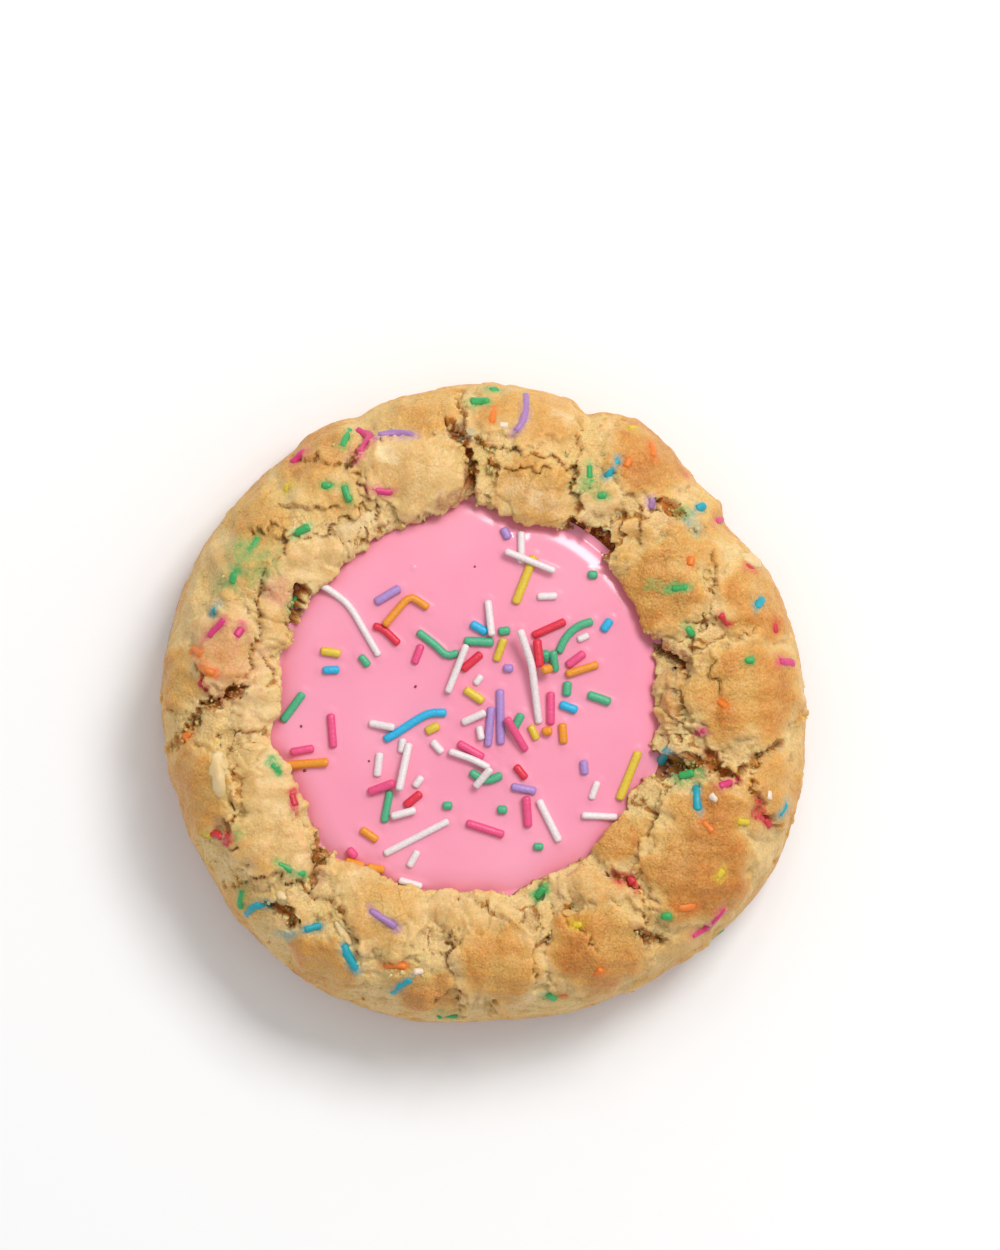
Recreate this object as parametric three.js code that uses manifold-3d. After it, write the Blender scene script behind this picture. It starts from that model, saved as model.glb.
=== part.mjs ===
// Birthday cake cookie: a thick round of pale vanilla dough with a browned, cragged crust, baked round
// a well in its middle that holds a pool of pink icing. Sugar strands lie on the icing and are baked
// into the crust. Millimetres, +Z up, origin at the middle of the flat underside.
import * as THREE from 'three';
import { mergeVertices } from 'three/addons/utils/BufferGeometryUtils.js';
import Module from 'manifold-3d';

const wasm = await Module();
wasm.setup();

// Driving dimensions of the dough
const DIAMETER = 95;
const WIDEST_LINE = 4.5;
const FOOT_INSET = 1.7;
const CREST = 22.7;
const CREST_LINE = 0.44;
const OUTER_ROUNDNESS = 2.1;
const INNER_ROUNDNESS = 2.9;

// Driving dimensions of the well and the icing in it
const WELL_DIAMETER = 56.4;
const WELL_CENTRE = new THREE.Vector2(-2.4, 0.7);
const WELL_FLOOR = 15;
const ICING_LEVEL = 21.4;
const ICING_DOME = 0.3;
const ICING_EDGE = 1.6;
const LIP = ICING_LEVEL - 1;
const CLEARANCE = 0.45;

// Sugar strands: thickness, and how much of it stands above what carries it
const STRAND = 1.25;
const STRAND_PROUD = 0.75;
const STRAND_SIDES = 5;
const BAKED_PROUD = 0.55;

// How finely the surfaces are divided
const BEARINGS = 128;
const SECTION_RINGS = 24;
const ICING_BEARINGS = 64;
const ICING_RINGS = 7;

// The ring's spine, which its plates grow away from and its gaps sink towards
const SPINE_ACROSS = 0.5;
const SPINE_HEIGHT = 11;

// How far the outer edge and the well's edge stand off a true circle, every 15 degrees from +X
const EDGE_OFFSETS = [
  0.1, -0.6, -2.3, -1.6, -0.2, -1.5, -0.5, -0.9, -0.6, -0.9, -0.4, -0.3,
  -0.1, -0.3, -0.1, 0.7, 1, 0.1, -0.5, -0.1, 0.4, 1.4, 2.1, 1.1,
];
const WELL_OFFSETS = [
  -0.2, 0.2, 0.1, 0.7, 0.6, -0.8, 0.7, -1.5, -1.4, -1.5, -1.1, -0.8,
  -0.4, -0.2, 0.1, 1.2, -0.5, 0.3, 0.3, 0.7, 0.9, 0.8, 0.6, 0.3,
];

// Plates of crust that rose in the oven: middle x and y, half length, half width, turn in degrees, rise
const PLATES = [
  [-10, 33.6, 8.2, 5.9, -12, 2.7], [-22.5, 30.6, 6.4, 4.6, 25, 1.8], [-17.8, 26.2, 4.2, 2.6, 30, 1.7],
  [-25.1, 20.7, 6.2, 4.4, 20, 2.2], [-24.7, 36.5, 6.6, 4.6, 40, 1.4], [-32.5, 26.9, 5.6, 4.8, 50, 1.5],
  [-35, 20.5, 5.6, 4.8, 60, 1.5], [-30.9, 12.2, 3, 5.8, 0, 2], [-37.5, 8, 5.2, 6.4, -15, 2.4],
  [-44.3, 3.3, 3.4, 4.8, 0, 1.6], [-41.7, -12.2, 5, 8, 8, 2.2], [-31.6, -10.7, 5.4, 7.6, 15, 2.3],
  [-33.1, 1.3, 3.8, 6, 0, 2], [-31.1, -21, 6.8, 5.2, -30, 2.5], [-23.2, -38, 6.6, 4.4, -35, 1.7],
  [-28.4, -29.9, 4.6, 3.4, -30, 1.2], [-35.5, -29.9, 4, 4.6, 20, 1.2], [-14.8, -30.9, 7.8, 5.8, -40, 2.4],
  [-19.5, -26.2, 4.8, 3, -28, 2], [-8.5, -42.3, 6, 3.6, -8, 1.2], [2.6, -38.3, 6.8, 6.2, 0, 2.3],
  [-1.8, -30.9, 7, 3, 0, 2], [15.9, -36.2, 8, 6.8, 20, 2.4], [16.2, -27.2, 6.4, 2.5, -5, 2],
  [31.3, -24.4, 8.8, 7.6, 45, 2.6], [20.6, -20, 5, 4.1, 30, 2.1], [38.3, 1.5, 8.8, 8, 0, 2.6],
  [25.4, 16.6, 7.8, 7, -40, 2.3], [39.8, 15.1, 5.4, 7, 20, 2], [34.7, 26.6, 3.8, 4.2, 10, 1.3],
  [30.6, 22.6, 5, 3, -30, 1.8], [24.4, 36.1, 7.4, 6.2, -35, 2.4], [7.7, 31.3, 7.6, 5, -32, 2.3],
  [6.7, 42.2, 8.8, 4.6, -8, 1.9], [-8.5, 42, 6, 3.6, 15, 1.3], [17.3, 29.7, 3.4, 2.8, 0, 1.4],
  [22, 25.4, 4, 2.8, 0, 1.5], [41.7, -12.9, 5, 6.6, -10, 1.9], [32.8, -16.2, 6.4, 4.8, 20, 2.2],
  [29, -35, 5, 3.4, 35, 1.2], [23.4, -38, 3.6, 3, 20, 1.1],
];

// Gaps torn open between the plates: half width, depth, and the points that the gap runs through
const GAPS = [
  [1.1, 3.6, [[-5.8, 40.5], [-4.1, 38.7], [-2.4, 36.5], [-1.7, 33.6], [-2.1, 29.9]]],
  [1.3, 3.2, [[15.8, 44.5], [14.8, 36.5], [13.9, 33.6], [13.5, 29.9], [15.1, 26.2], [17.3, 24]]],
  [1.3, 2.6, [[18.8, 27.2], [23.2, 27.7], [26.9, 29.1], [30.6, 27.2], [34.4, 32]]],
  [1.4, 3.8, [[25.4, 9.2], [27.7, 7], [29.6, 6]]],
  [1.6, 3, [[28, 4.8], [28.5, 0.4], [28, -4.1]]],
  [1.6, 3, [[25.4, -9.7], [29.9, -8.8], [34.3, -7.9], [37.2, -9.7], [41.7, -6.3]]],
  [1, 2.4, [[39.2, -12.2], [40.5, -15.1], [42.1, -17.6]]],
  [1, 2.2, [[26.2, -13.6], [25, -18.8], [22.9, -23.2], [23.5, -29.1], [25, -33.6]]],
  [1, 2, [[19.1, -25], [22.1, -26.2]]],
  [1.4, 2.6, [[24.3, -33.6], [26.9, -35.5]]],
  [1, 2.4, [[-4.6, -34.3], [-4.5, -38.3]]],
  [0.9, 2, [[-21.8, -29.4], [-19.2, -32.4], [-17.2, -36.2]]],
  [1.1, 2.6, [[-36.1, -26.2], [-31.3, -25.3], [-25.1, -28.1]]],
  [1, 2.6, [[-24.3, -21.5], [-23.1, -24.4], [-24.3, -27.7]]],
  [1.5, 3, [[-37.4, 1.3], [-38.7, -1.4]]],
  [0.8, 1.8, [[-32.5, 16.6], [-32.2, 10.7], [-35.2, 4.8], [-36.1, 1.5]]],
  [1.4, 2.2, [[-44.6, -6.3], [-42.8, -4.1], [-41.7, -1.4]]],
  [0.8, 1.6, [[-38.4, -6], [-37.2, -10], [-36.2, -14.4], [-37.1, -20.3]]],
  [1, 3, [[-28.1, 15.9], [-27.5, 10.7]]],
  [0.9, 2, [[9.2, -26.9], [8.2, -29.6]]],
  [1.1, 1.3, [[-19.5, 35], [-16.9, 38], [-14.4, 39.2], [-16, 43.5]]],
  [1.4, 1.2, [[-3.3, 45.4], [-0.4, 40.2]]],
];

// Sugar strands on the icing, each as the x, y of its ends and bends, the long ones first
const ICING_STRANDS = [
  [-22.7, 16.8, -21.9, 16.3, -19.5, 14.2, -17.2, 10.5, -15.1, 6.9], [5.5, 10.8, 7.2, 6.3, 7.6, 4.2, 8.3, -3],
  [-4.9, -17.2, -14.4, -22.1], [-14.4, -5.4, -12.3, -4.2, -10, -2.7, -7.7, -1.5, -5.2, -1.4],
  [2.6, 2.1, 2.7, -6.1], [3.3, 22.3, 10.7, 19.3], [-14.4, 11.3, -11.1, 15.1, -10, 15.3, -7.9, 13.9],
  [7.6, 21.6, 4.8, 14.5], [22.9, -7, 20, -14.2], [-2.3, 8.6, -5.1, 1.5], [-10.7, -5.8, -12.2, -12.8],
  [-28, -9, -22.5, -8.6], [16.2, 12, 14.1, 11.3, 12.3, 9.7, 11.1, 7.3], [8.2, -14.1, 11.3, -20.3],
  [-4.9, -7, -1.5, -8.2, 1.1, -9.5], [-9.5, 10.5, -6.9, 8.5, -5.2, 7, -3.5, 7.4], [-2.4, -17.5, 3.2, -19.3],
  [3.5, -2.1, 6.4, -7], [1.3, -0.5, 0.8, -6.4], [12.2, 12, 7.3, 9.8], [14.5, -16.4, 19.8, -16.7],
  [0.8, 15.1, 1.4, 9.8], [-26, 1.3, -28.9, -2.7], [-22.2, -1.5, -21.8, -6.6], [17, 5.7, 12.2, 4.2],
  [-1.8, -10, 0.5, -11.3, 2.9, -10.5], [5.7, 25.2, 5.7, 20.4], [10, 1.7, 10, -3.2], [-13.5, -12.8, -14.4, -17.5],
  [6.4, -13.6, 6.7, -18.2], [-16, 11.3, -14.5, 10.8, -12.2, 8.6], [-3.6, -5.8, 0.2, -8], [-2.7, 9.1, 1.7, 8.9],
  [7.9, 9.4, 8.2, 5.2], [-16.7, -13.1, -12.8, -11.6], [-15.7, 14.7, -12, 16.9], [-13.4, -16.6, -9.7, -15.6],
  [-16.6, -2.9, -12.8, -3.6], [0.5, -1.3, -3, -2.9], [4.2, -12.2, 7.9, -12.9], [-0.1, 7.3, -3, 4.8],
  [1.3, -9.5, -1.1, -12.3], [3.2, 9.5, 2, 6.1], [-15, -7.2, -15.4, -10.8], [15.4, 1.3, 18.8, 0.1],
  [15, 7.4, 12.3, 5.4], [-2.6, 2.1, 0.2, 0.2], [-27.5, -7.2, -24.6, -6.6], [-8.9, -13.1, -11.4, -15.1],
  [10.3, 7.7, 10.7, 4.6], [11.7, -2.9, 11.9, -6], [-8.9, 8.6, -10, 5.7], [-17.8, -18.4, -15.3, -20.1],
  [-23.7, 7.7, -20.7, 7.2], [8, 15.6, 11, 15.7], [-1.7, 11.7, 0.7, 10.3], [11.3, -0.1, 13.9, -1.1],
  [16.9, -11.4, 15.9, -14.1], [5.8, -1.5, 4.4, -4.1], [4.8, -9.1, 6.4, -11.1], [-23.4, 4.8, -20.9, 4.9],
];

// The larger strands baked into the crust, by their ends and bends
const CRUST_STRANDS = [
  [6.4, 44.6, 6.3, 42.3, 4.8, 39.5], [-15.3, 39.2, -12.2, 39.6, -10, 39.2], [-18.5, 40.2, -16.3, 38.9, -18.1, 36.5],
  [-17, 31.3, -13.4, 30.8], [-20.5, 37.5, -19.5, 40.3], [-37.7, 12.3, -40.1, 9.7], [-29.9, -23.2, -25.7, -25.2],
  [-34.7, -31.3, -33.3, -29.6, -31.1, -29.4], [-26.1, -33.2, -23.6, -32.5], [-20.3, -35.3, -18.5, -39.2],
  [-10.4, -40.3, -13.4, -42.6], [-14.4, -38.4, -11.1, -38.4], [-16.4, -30.2, -12.6, -32.7],
  [-21.2, -32.4, -19.3, -33.9, -17.9, -37], [28.5, -30, 31.2, -29.8], [35.6, -30, 33.6, -32.5, 30.8, -34.3],
  [31.2, -12.2, 31.5, -15.7], [34.5, -12.2, 37.3, -11.2], [27.7, 16.9, 30, 16.9], [20, 35.6, 18.1, 33.1],
  [15.7, 32.8, 15.7, 34.9], [24.8, 38.3, 25.2, 35.9], [1.3, 41, 1.8, 43.6], [-1.7, 44.2, 1, 44.2],
];

const smooth = (low, high, value) => THREE.MathUtils.smoothstep(value, low, high);

// A closed run of values, evenly spread over one turn, read smoothly at any bearing
function around(values, bearing) {
  const n = values.length;
  const place = (((bearing / (2 * Math.PI)) % 1) + 1) % 1 * n;
  const i = Math.floor(place);
  const t = place - i;
  const [a, b, c, d] = [-1, 0, 1, 2].map((step) => values[(i + step + n) % n]);
  return b + 0.5 * t * (c - a + t * (2 * a - 5 * b + 4 * c - d + t * (3 * (b - c) + d - a)));
}

function outerEdge(bearing) {
  const radius = DIAMETER / 2 + around(EDGE_OFFSETS, bearing);
  return new THREE.Vector2(Math.cos(bearing), Math.sin(bearing)).multiplyScalar(radius);
}

function wellEdge(bearing, inset = 0) {
  const radius = WELL_DIAMETER / 2 + around(WELL_OFFSETS, bearing) - inset;
  return new THREE.Vector2(Math.cos(bearing), Math.sin(bearing)).multiplyScalar(radius).add(WELL_CENTRE);
}

// The ring's section, from the foot round the outside and over the crest to the lip of the well
function section() {
  const ringWidth = (DIAMETER - WELL_DIAMETER) / 2;
  const crestLine = CREST_LINE * ringWidth;
  const points = [];
  const quarter = (count, place) => {
    for (let i = 0; i < count; i++) points.push(place((i / count) * (Math.PI / 2)));
  };
  quarter(6, (a) => new THREE.Vector2(
    ringWidth - FOOT_INSET * (1 - Math.sin(a)),
    WIDEST_LINE * (1 - Math.cos(a)),
  ));
  quarter(24, (a) => new THREE.Vector2(
    crestLine + (ringWidth - crestLine) * Math.cos(a) ** (2 / OUTER_ROUNDNESS),
    WIDEST_LINE + (CREST - WIDEST_LINE) * Math.sin(a) ** (2 / OUTER_ROUNDNESS),
  ));
  quarter(24, (a) => new THREE.Vector2(
    crestLine * (1 - Math.sin(a) ** (2 / INNER_ROUNDNESS)),
    LIP + (CREST - LIP) * Math.cos(a) ** (2 / INNER_ROUNDNESS),
  ));
  points.push(new THREE.Vector2(0, LIP));
  return new THREE.SplineCurve(points).getSpacedPoints(SECTION_RINGS)
    .map((p) => ({ across: p.x / ringWidth, z: p.y }));
}

// Soft unevenness of the dough, from a few waves that cross at odd angles
function swell(x, y, z) {
  return 0.4 * Math.sin(0.52 * x + 0.31 * y + 0.21 * z) * Math.cos(0.43 * y - 0.19 * x - 0.3 * z)
    + 0.24 * Math.sin(0.93 * x - 0.72 * y + 0.45 * z) * Math.sin(0.94 * y + 0.55 * x - 0.5 * z)
    + 0.16 * Math.sin(1.4 * x + 1.05 * y + 0.8 * z) * Math.sin(1.3 * y - 0.97 * x + 0.7 * z);
}

function distanceToRun(x, y, points) {
  let nearest = Infinity;
  for (let i = 1; i < points.length; i++) {
    const [ax, ay] = points[i - 1];
    const [bx, by] = points[i];
    const along = ((x - ax) * (bx - ax) + (y - ay) * (by - ay)) / ((bx - ax) ** 2 + (by - ay) ** 2);
    const t = THREE.MathUtils.clamp(along, 0, 1);
    nearest = Math.min(nearest, Math.hypot(x - ax - t * (bx - ax), y - ay - t * (by - ay)));
  }
  return nearest;
}

// How far the crust stands off its plain section: the highest plate here, less the deepest gap
function relief(x, y, z) {
  const raggedX = x + 0.6 * Math.sin(1.1 * y + 0.4 * x);
  const raggedY = y + 0.6 * Math.sin(x - 0.5 * y + 2);
  let plate = 0;
  for (const [px, py, length, width, turn, rise] of PLATES) {
    const angle = THREE.MathUtils.degToRad(turn);
    const along = (raggedX - px) * Math.cos(angle) + (raggedY - py) * Math.sin(angle);
    const aside = (raggedY - py) * Math.cos(angle) - (raggedX - px) * Math.sin(angle);
    const off = Math.hypot(along / length, aside / width);
    if (off < 1) plate = Math.max(plate, rise * Math.sqrt(1 - off ** 4));
  }
  let gap = 0;
  for (const [half, depth, points] of GAPS) {
    const off = distanceToRun(raggedX, raggedY, points) / half;
    gap = Math.max(gap, depth * (1 - smooth(0.2, 1.6, off)));
  }
  return plate - gap + swell(x, y, z);
}

// A point of the crust, moved by the relief along the line from the ring's spine
function crustPoint(bearing, { across, z }) {
  const inner = wellEdge(bearing);
  const outer = outerEdge(bearing);
  const plan = inner.clone().lerp(outer, across);
  const spine = inner.clone().lerp(outer, SPINE_ACROSS);
  const point = new THREE.Vector3(plan.x, plan.y, z);
  const away = point.clone().sub(new THREE.Vector3(spine.x, spine.y, SPINE_HEIGHT)).normalize();
  const side = across > CREST_LINE ? smooth(3, 19, z) : smooth(LIP, LIP + 1.8, z);
  return point.addScaledVector(away, relief(plan.x, plan.y, z) * side);
}

// Rings of points, each with the same number of them, closed at both ends by a single point
function closedRings(first, rings, last) {
  const count = rings[0].length;
  const points = [first, ...rings.flat(), last];
  const at = (ring, i) => 1 + ring * count + (i % count);
  const triangles = [];
  for (let i = 0; i < count; i++) {
    triangles.push(0, at(0, i + 1), at(0, i));
    for (let ring = 1; ring < rings.length; ring++) {
      triangles.push(at(ring - 1, i), at(ring - 1, i + 1), at(ring, i + 1));
      triangles.push(at(ring - 1, i), at(ring, i + 1), at(ring, i));
    }
    triangles.push(at(rings.length - 1, i), at(rings.length - 1, i + 1), points.length - 1);
  }
  const geometry = new THREE.BufferGeometry().setFromPoints(points);
  geometry.setIndex(triangles);
  return geometry;
}

const bearings = (count) => Array.from({ length: count }, (_, i) => (i / count) * 2 * Math.PI);

function doughGeometry() {
  const crust = section().map((place) => bearings(BEARINGS).map((b) => crustPoint(b, place)));
  const flatRing = (z, inset) => bearings(BEARINGS).map((b) => {
    const p = wellEdge(b, inset);
    return new THREE.Vector3(p.x, p.y, z);
  });
  const well = [flatRing((LIP + WELL_FLOOR) / 2, 0), flatRing(WELL_FLOOR, 0)];
  const middle = new THREE.Vector3(WELL_CENTRE.x, WELL_CENTRE.y, WELL_FLOOR);
  return closedRings(new THREE.Vector3(0, 0, 0), [...crust, ...well], middle);
}

// Height of the icing: a low dome that rolls over into its upright edge
function icingHeight(x, y) {
  const offset = new THREE.Vector2(x, y).sub(WELL_CENTRE);
  const edge = WELL_DIAMETER / 2 + around(WELL_OFFSETS, offset.angle()) - CLEARANCE;
  const inside = Math.max(0, edge - offset.length());
  const roll = Math.max(0, 1 - inside / ICING_EDGE);
  const dome = ICING_DOME * (1 - (offset.length() / edge) ** 2);
  return ICING_LEVEL + dome - ICING_EDGE * (1 - Math.sqrt(1 - roll * roll));
}

function icingGeometry() {
  const bottom = WELL_FLOOR + CLEARANCE;
  const insets = [0, 0.1, 0.5, 1.1, 2, 9, 18].slice(0, ICING_RINGS);
  const ring = (inset, height) => bearings(ICING_BEARINGS).map((b) => {
    const p = wellEdge(b, CLEARANCE + inset);
    return new THREE.Vector3(p.x, p.y, height ?? icingHeight(p.x, p.y));
  });
  const rings = [ring(0, bottom), ...insets.map((inset) => ring(inset))];
  const low = new THREE.Vector3(WELL_CENTRE.x, WELL_CENTRE.y, bottom);
  const top = new THREE.Vector3(WELL_CENTRE.x, WELL_CENTRE.y, ICING_LEVEL + ICING_DOME);
  return closedRings(low, rings, top);
}

// One strand as a rod with a few sides, swept along its points
function strandGeometry(path) {
  const rings = path.map((point, i) => {
    const ahead = path[Math.min(i + 1, path.length - 1)].clone().sub(path[Math.max(i - 1, 0)]).normalize();
    const right = ahead.clone().cross(new THREE.Vector3(0, 0, 1)).normalize();
    const up = right.clone().cross(ahead);
    return bearings(STRAND_SIDES).map((a) => point.clone()
      .addScaledVector(right, (STRAND / 2) * Math.sin(a))
      .addScaledVector(up, (STRAND / 2) * Math.cos(a)));
  });
  return closedRings(path[0], rings, path.at(-1));
}

// The path of a strand that lies on a surface with part of its thickness standing proud
function strandPath(flat, heightAt, proud) {
  const path = [];
  for (let i = 0; i < flat.length; i += 2) {
    const z = heightAt(flat[i], flat[i + 1]) + STRAND * (proud - 0.5);
    path.push(new THREE.Vector3(flat[i], flat[i + 1], z));
  }
  return path;
}

function toSolid(geometry) {
  geometry.deleteAttribute('normal');
  geometry.deleteAttribute('uv');
  const merged = mergeVertices(geometry, 1e-4);
  return new wasm.Manifold(new wasm.Mesh({
    numProp: 3,
    vertProperties: new Float32Array(merged.attributes.position.array),
    triVerts: new Uint32Array(merged.index.array),
  }));
}

function toGeometry(solid) {
  const { vertProperties, triVerts } = solid.getMesh();
  const geometry = new THREE.BufferGeometry();
  geometry.setAttribute('position', new THREE.BufferAttribute(vertProperties, 3));
  geometry.setIndex(new THREE.BufferAttribute(triVerts, 1));
  geometry.computeVertexNormals();
  return geometry;
}

function withStrands(geometry, strands, heightAt, proud) {
  let solid = toSolid(geometry);
  for (const flat of strands) {
    solid = solid.add(toSolid(strandGeometry(strandPath(flat, heightAt, proud))));
  }
  return toGeometry(solid);
}

// Height of a faceted surface straight below a high point
function heightOn(geometry) {
  const surface = new THREE.Mesh(geometry, new THREE.MeshBasicMaterial({ side: THREE.DoubleSide }));
  const down = new THREE.Vector3(0, 0, -1);
  return (x, y) => {
    const ray = new THREE.Raycaster(new THREE.Vector3(x, y, 2 * CREST), down);
    return ray.intersectObject(surface)[0].point.z;
  };
}

function cookie() {
  const dough = doughGeometry();
  const geometry = withStrands(dough, CRUST_STRANDS, heightOn(dough), BAKED_PROUD);
  const crust = new THREE.MeshStandardMaterial({ color: 0xd9a964, roughness: 0.85, metalness: 0 });
  const mesh = new THREE.Mesh(geometry, crust);
  mesh.name = 'cookie';
  return mesh;
}

function icing() {
  const geometry = withStrands(icingGeometry(), ICING_STRANDS, icingHeight, STRAND_PROUD);
  const glaze = new THREE.MeshStandardMaterial({ color: 0xf79ab3, roughness: 0.3, metalness: 0 });
  const mesh = new THREE.Mesh(geometry, glaze);
  mesh.name = 'icing';
  return mesh;
}

const birthdayCakeCookie = new THREE.Group();
birthdayCakeCookie.add(cookie(), icing());

export default birthdayCakeCookie;
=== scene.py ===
import itertools
import math

import bpy
import numpy as np
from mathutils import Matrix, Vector
from mathutils.bvhtree import BVHTree


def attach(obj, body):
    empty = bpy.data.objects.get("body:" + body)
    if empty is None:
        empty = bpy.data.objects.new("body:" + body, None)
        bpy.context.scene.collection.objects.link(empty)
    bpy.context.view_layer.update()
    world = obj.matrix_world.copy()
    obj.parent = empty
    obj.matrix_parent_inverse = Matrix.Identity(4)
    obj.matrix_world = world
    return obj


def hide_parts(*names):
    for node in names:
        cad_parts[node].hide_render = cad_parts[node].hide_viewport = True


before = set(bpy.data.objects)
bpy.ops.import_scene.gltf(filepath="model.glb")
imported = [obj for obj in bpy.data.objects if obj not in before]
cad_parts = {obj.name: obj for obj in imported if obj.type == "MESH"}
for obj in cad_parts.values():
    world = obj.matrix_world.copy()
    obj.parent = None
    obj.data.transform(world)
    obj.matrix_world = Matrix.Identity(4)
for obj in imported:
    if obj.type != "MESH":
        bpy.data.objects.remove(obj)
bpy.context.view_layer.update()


# Camera: straight above the cookie with a long lens, so that its sides hardly show. A picture pixel is
# 0.1475 mm at the height of the crust, and the middle of the cookie stands at ORIGIN_PIXEL.
MM = 0.001
PICTURE = (1000, 1250)
ORIGIN_PIXEL = (482.5, 702.5)
PIXEL = 0.1475 * MM
CAMERA_HEIGHT = 1500 * MM
SHARP_HEIGHT = 10 * MM
SENSOR = 36
CLIP_END = 20

camera = bpy.data.objects.new("camera", bpy.data.cameras.new("camera"))
bpy.context.scene.collection.objects.link(camera)
bpy.context.scene.camera = camera
camera.location = (
    (PICTURE[0] / 2 - ORIGIN_PIXEL[0]) * PIXEL,
    (ORIGIN_PIXEL[1] - PICTURE[1] / 2) * PIXEL,
    CAMERA_HEIGHT,
)
camera.rotation_euler = (0, 0, 0)
camera.data.sensor_width = SENSOR
camera.data.lens = SENSOR * (CAMERA_HEIGHT - SHARP_HEIGHT) / (PICTURE[1] * PIXEL)
camera.data.clip_end = CLIP_END


# The dough: butter, sugar and flour rolled into a ball, pressed round a well and baked. Its skin dried
# and rose in plates that the soft dough below tore apart, so smooth browned plates stand between
# ragged, pale and crumbly gaps.
DIAMETER = 95
WIDEST_LINE = 4.5
FOOT_INSET = 1.7
CREST = 22.7
CREST_LINE = 0.44
OUTER_ROUNDNESS = 2.1
INNER_ROUNDNESS = 2.9
WELL_DIAMETER = 56.4
WELL_CENTRE = np.array([-2.4, 0.7])
WELL_FLOOR = 15
ICING_LEVEL = 21.4
LIP = ICING_LEVEL - 1
RING_WIDTH = (DIAMETER - WELL_DIAMETER) / 2
SPINE_ACROSS = 0.5
SPINE_HEIGHT = 11
MELT = 0.13
LEAST_RISE = 0.65
PLATE_STEEPNESS = 0.24
CEILING = 3.1
CEILING_EASE = 0.5
CLUMP = 1.3
FIRM = 0.3
WALL = 0.35
STEP = 0.48
STEP_REACH = (0.2, 2.6)
LIP_OPENING = 0.35

# How far the outer edge and the well's edge stand off a true circle, every 15 degrees from +X
EDGE_OFFSETS = [
    0.1, -0.6, -2.3, -1.6, -0.2, -1.5, -0.5, -0.9, -0.6, -0.9, -0.4, -0.3,
    -0.1, -0.3, -0.1, 0.7, 1, 0.1, -0.5, -0.1, 0.4, 1.4, 2.1, 1.1,
]
WELL_OFFSETS = [
    -0.2, 0.2, 0.1, 0.7, 0.6, -0.8, 0.7, -1.5, -1.4, -1.5, -1.1, -0.8,
    -0.4, -0.2, 0.1, 1.2, 0.4, 0.3, 0.3, 0.7, 0.9, 0.8, 0.6, 0.3,
]

# Dents and bulges of those edges: bearing and width in degrees, and depth
EDGE_BULGES = [
    [28, 5, 0.3], [36, 4, -0.9], [40, 2, 0.6], [51, 7, -1.1], [70, 2, -1.2], [77, 6, 0.5],
    [113, 3, -0.8], [128, 2.5, -0.5], [196, 5, -0.8], [256, 10, 0.7],
]
WELL_BULGES = [
    [29, 12, 0.7], [111, 7, 0.5], [184, 3, -0.3], [192.5, 5.5, 2.2], [229, 7, 0.8], [247, 9, 0.9],
    [300, 8, -0.4], [310, 6, 0.5], [328, 5, -0.9],
]

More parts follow.
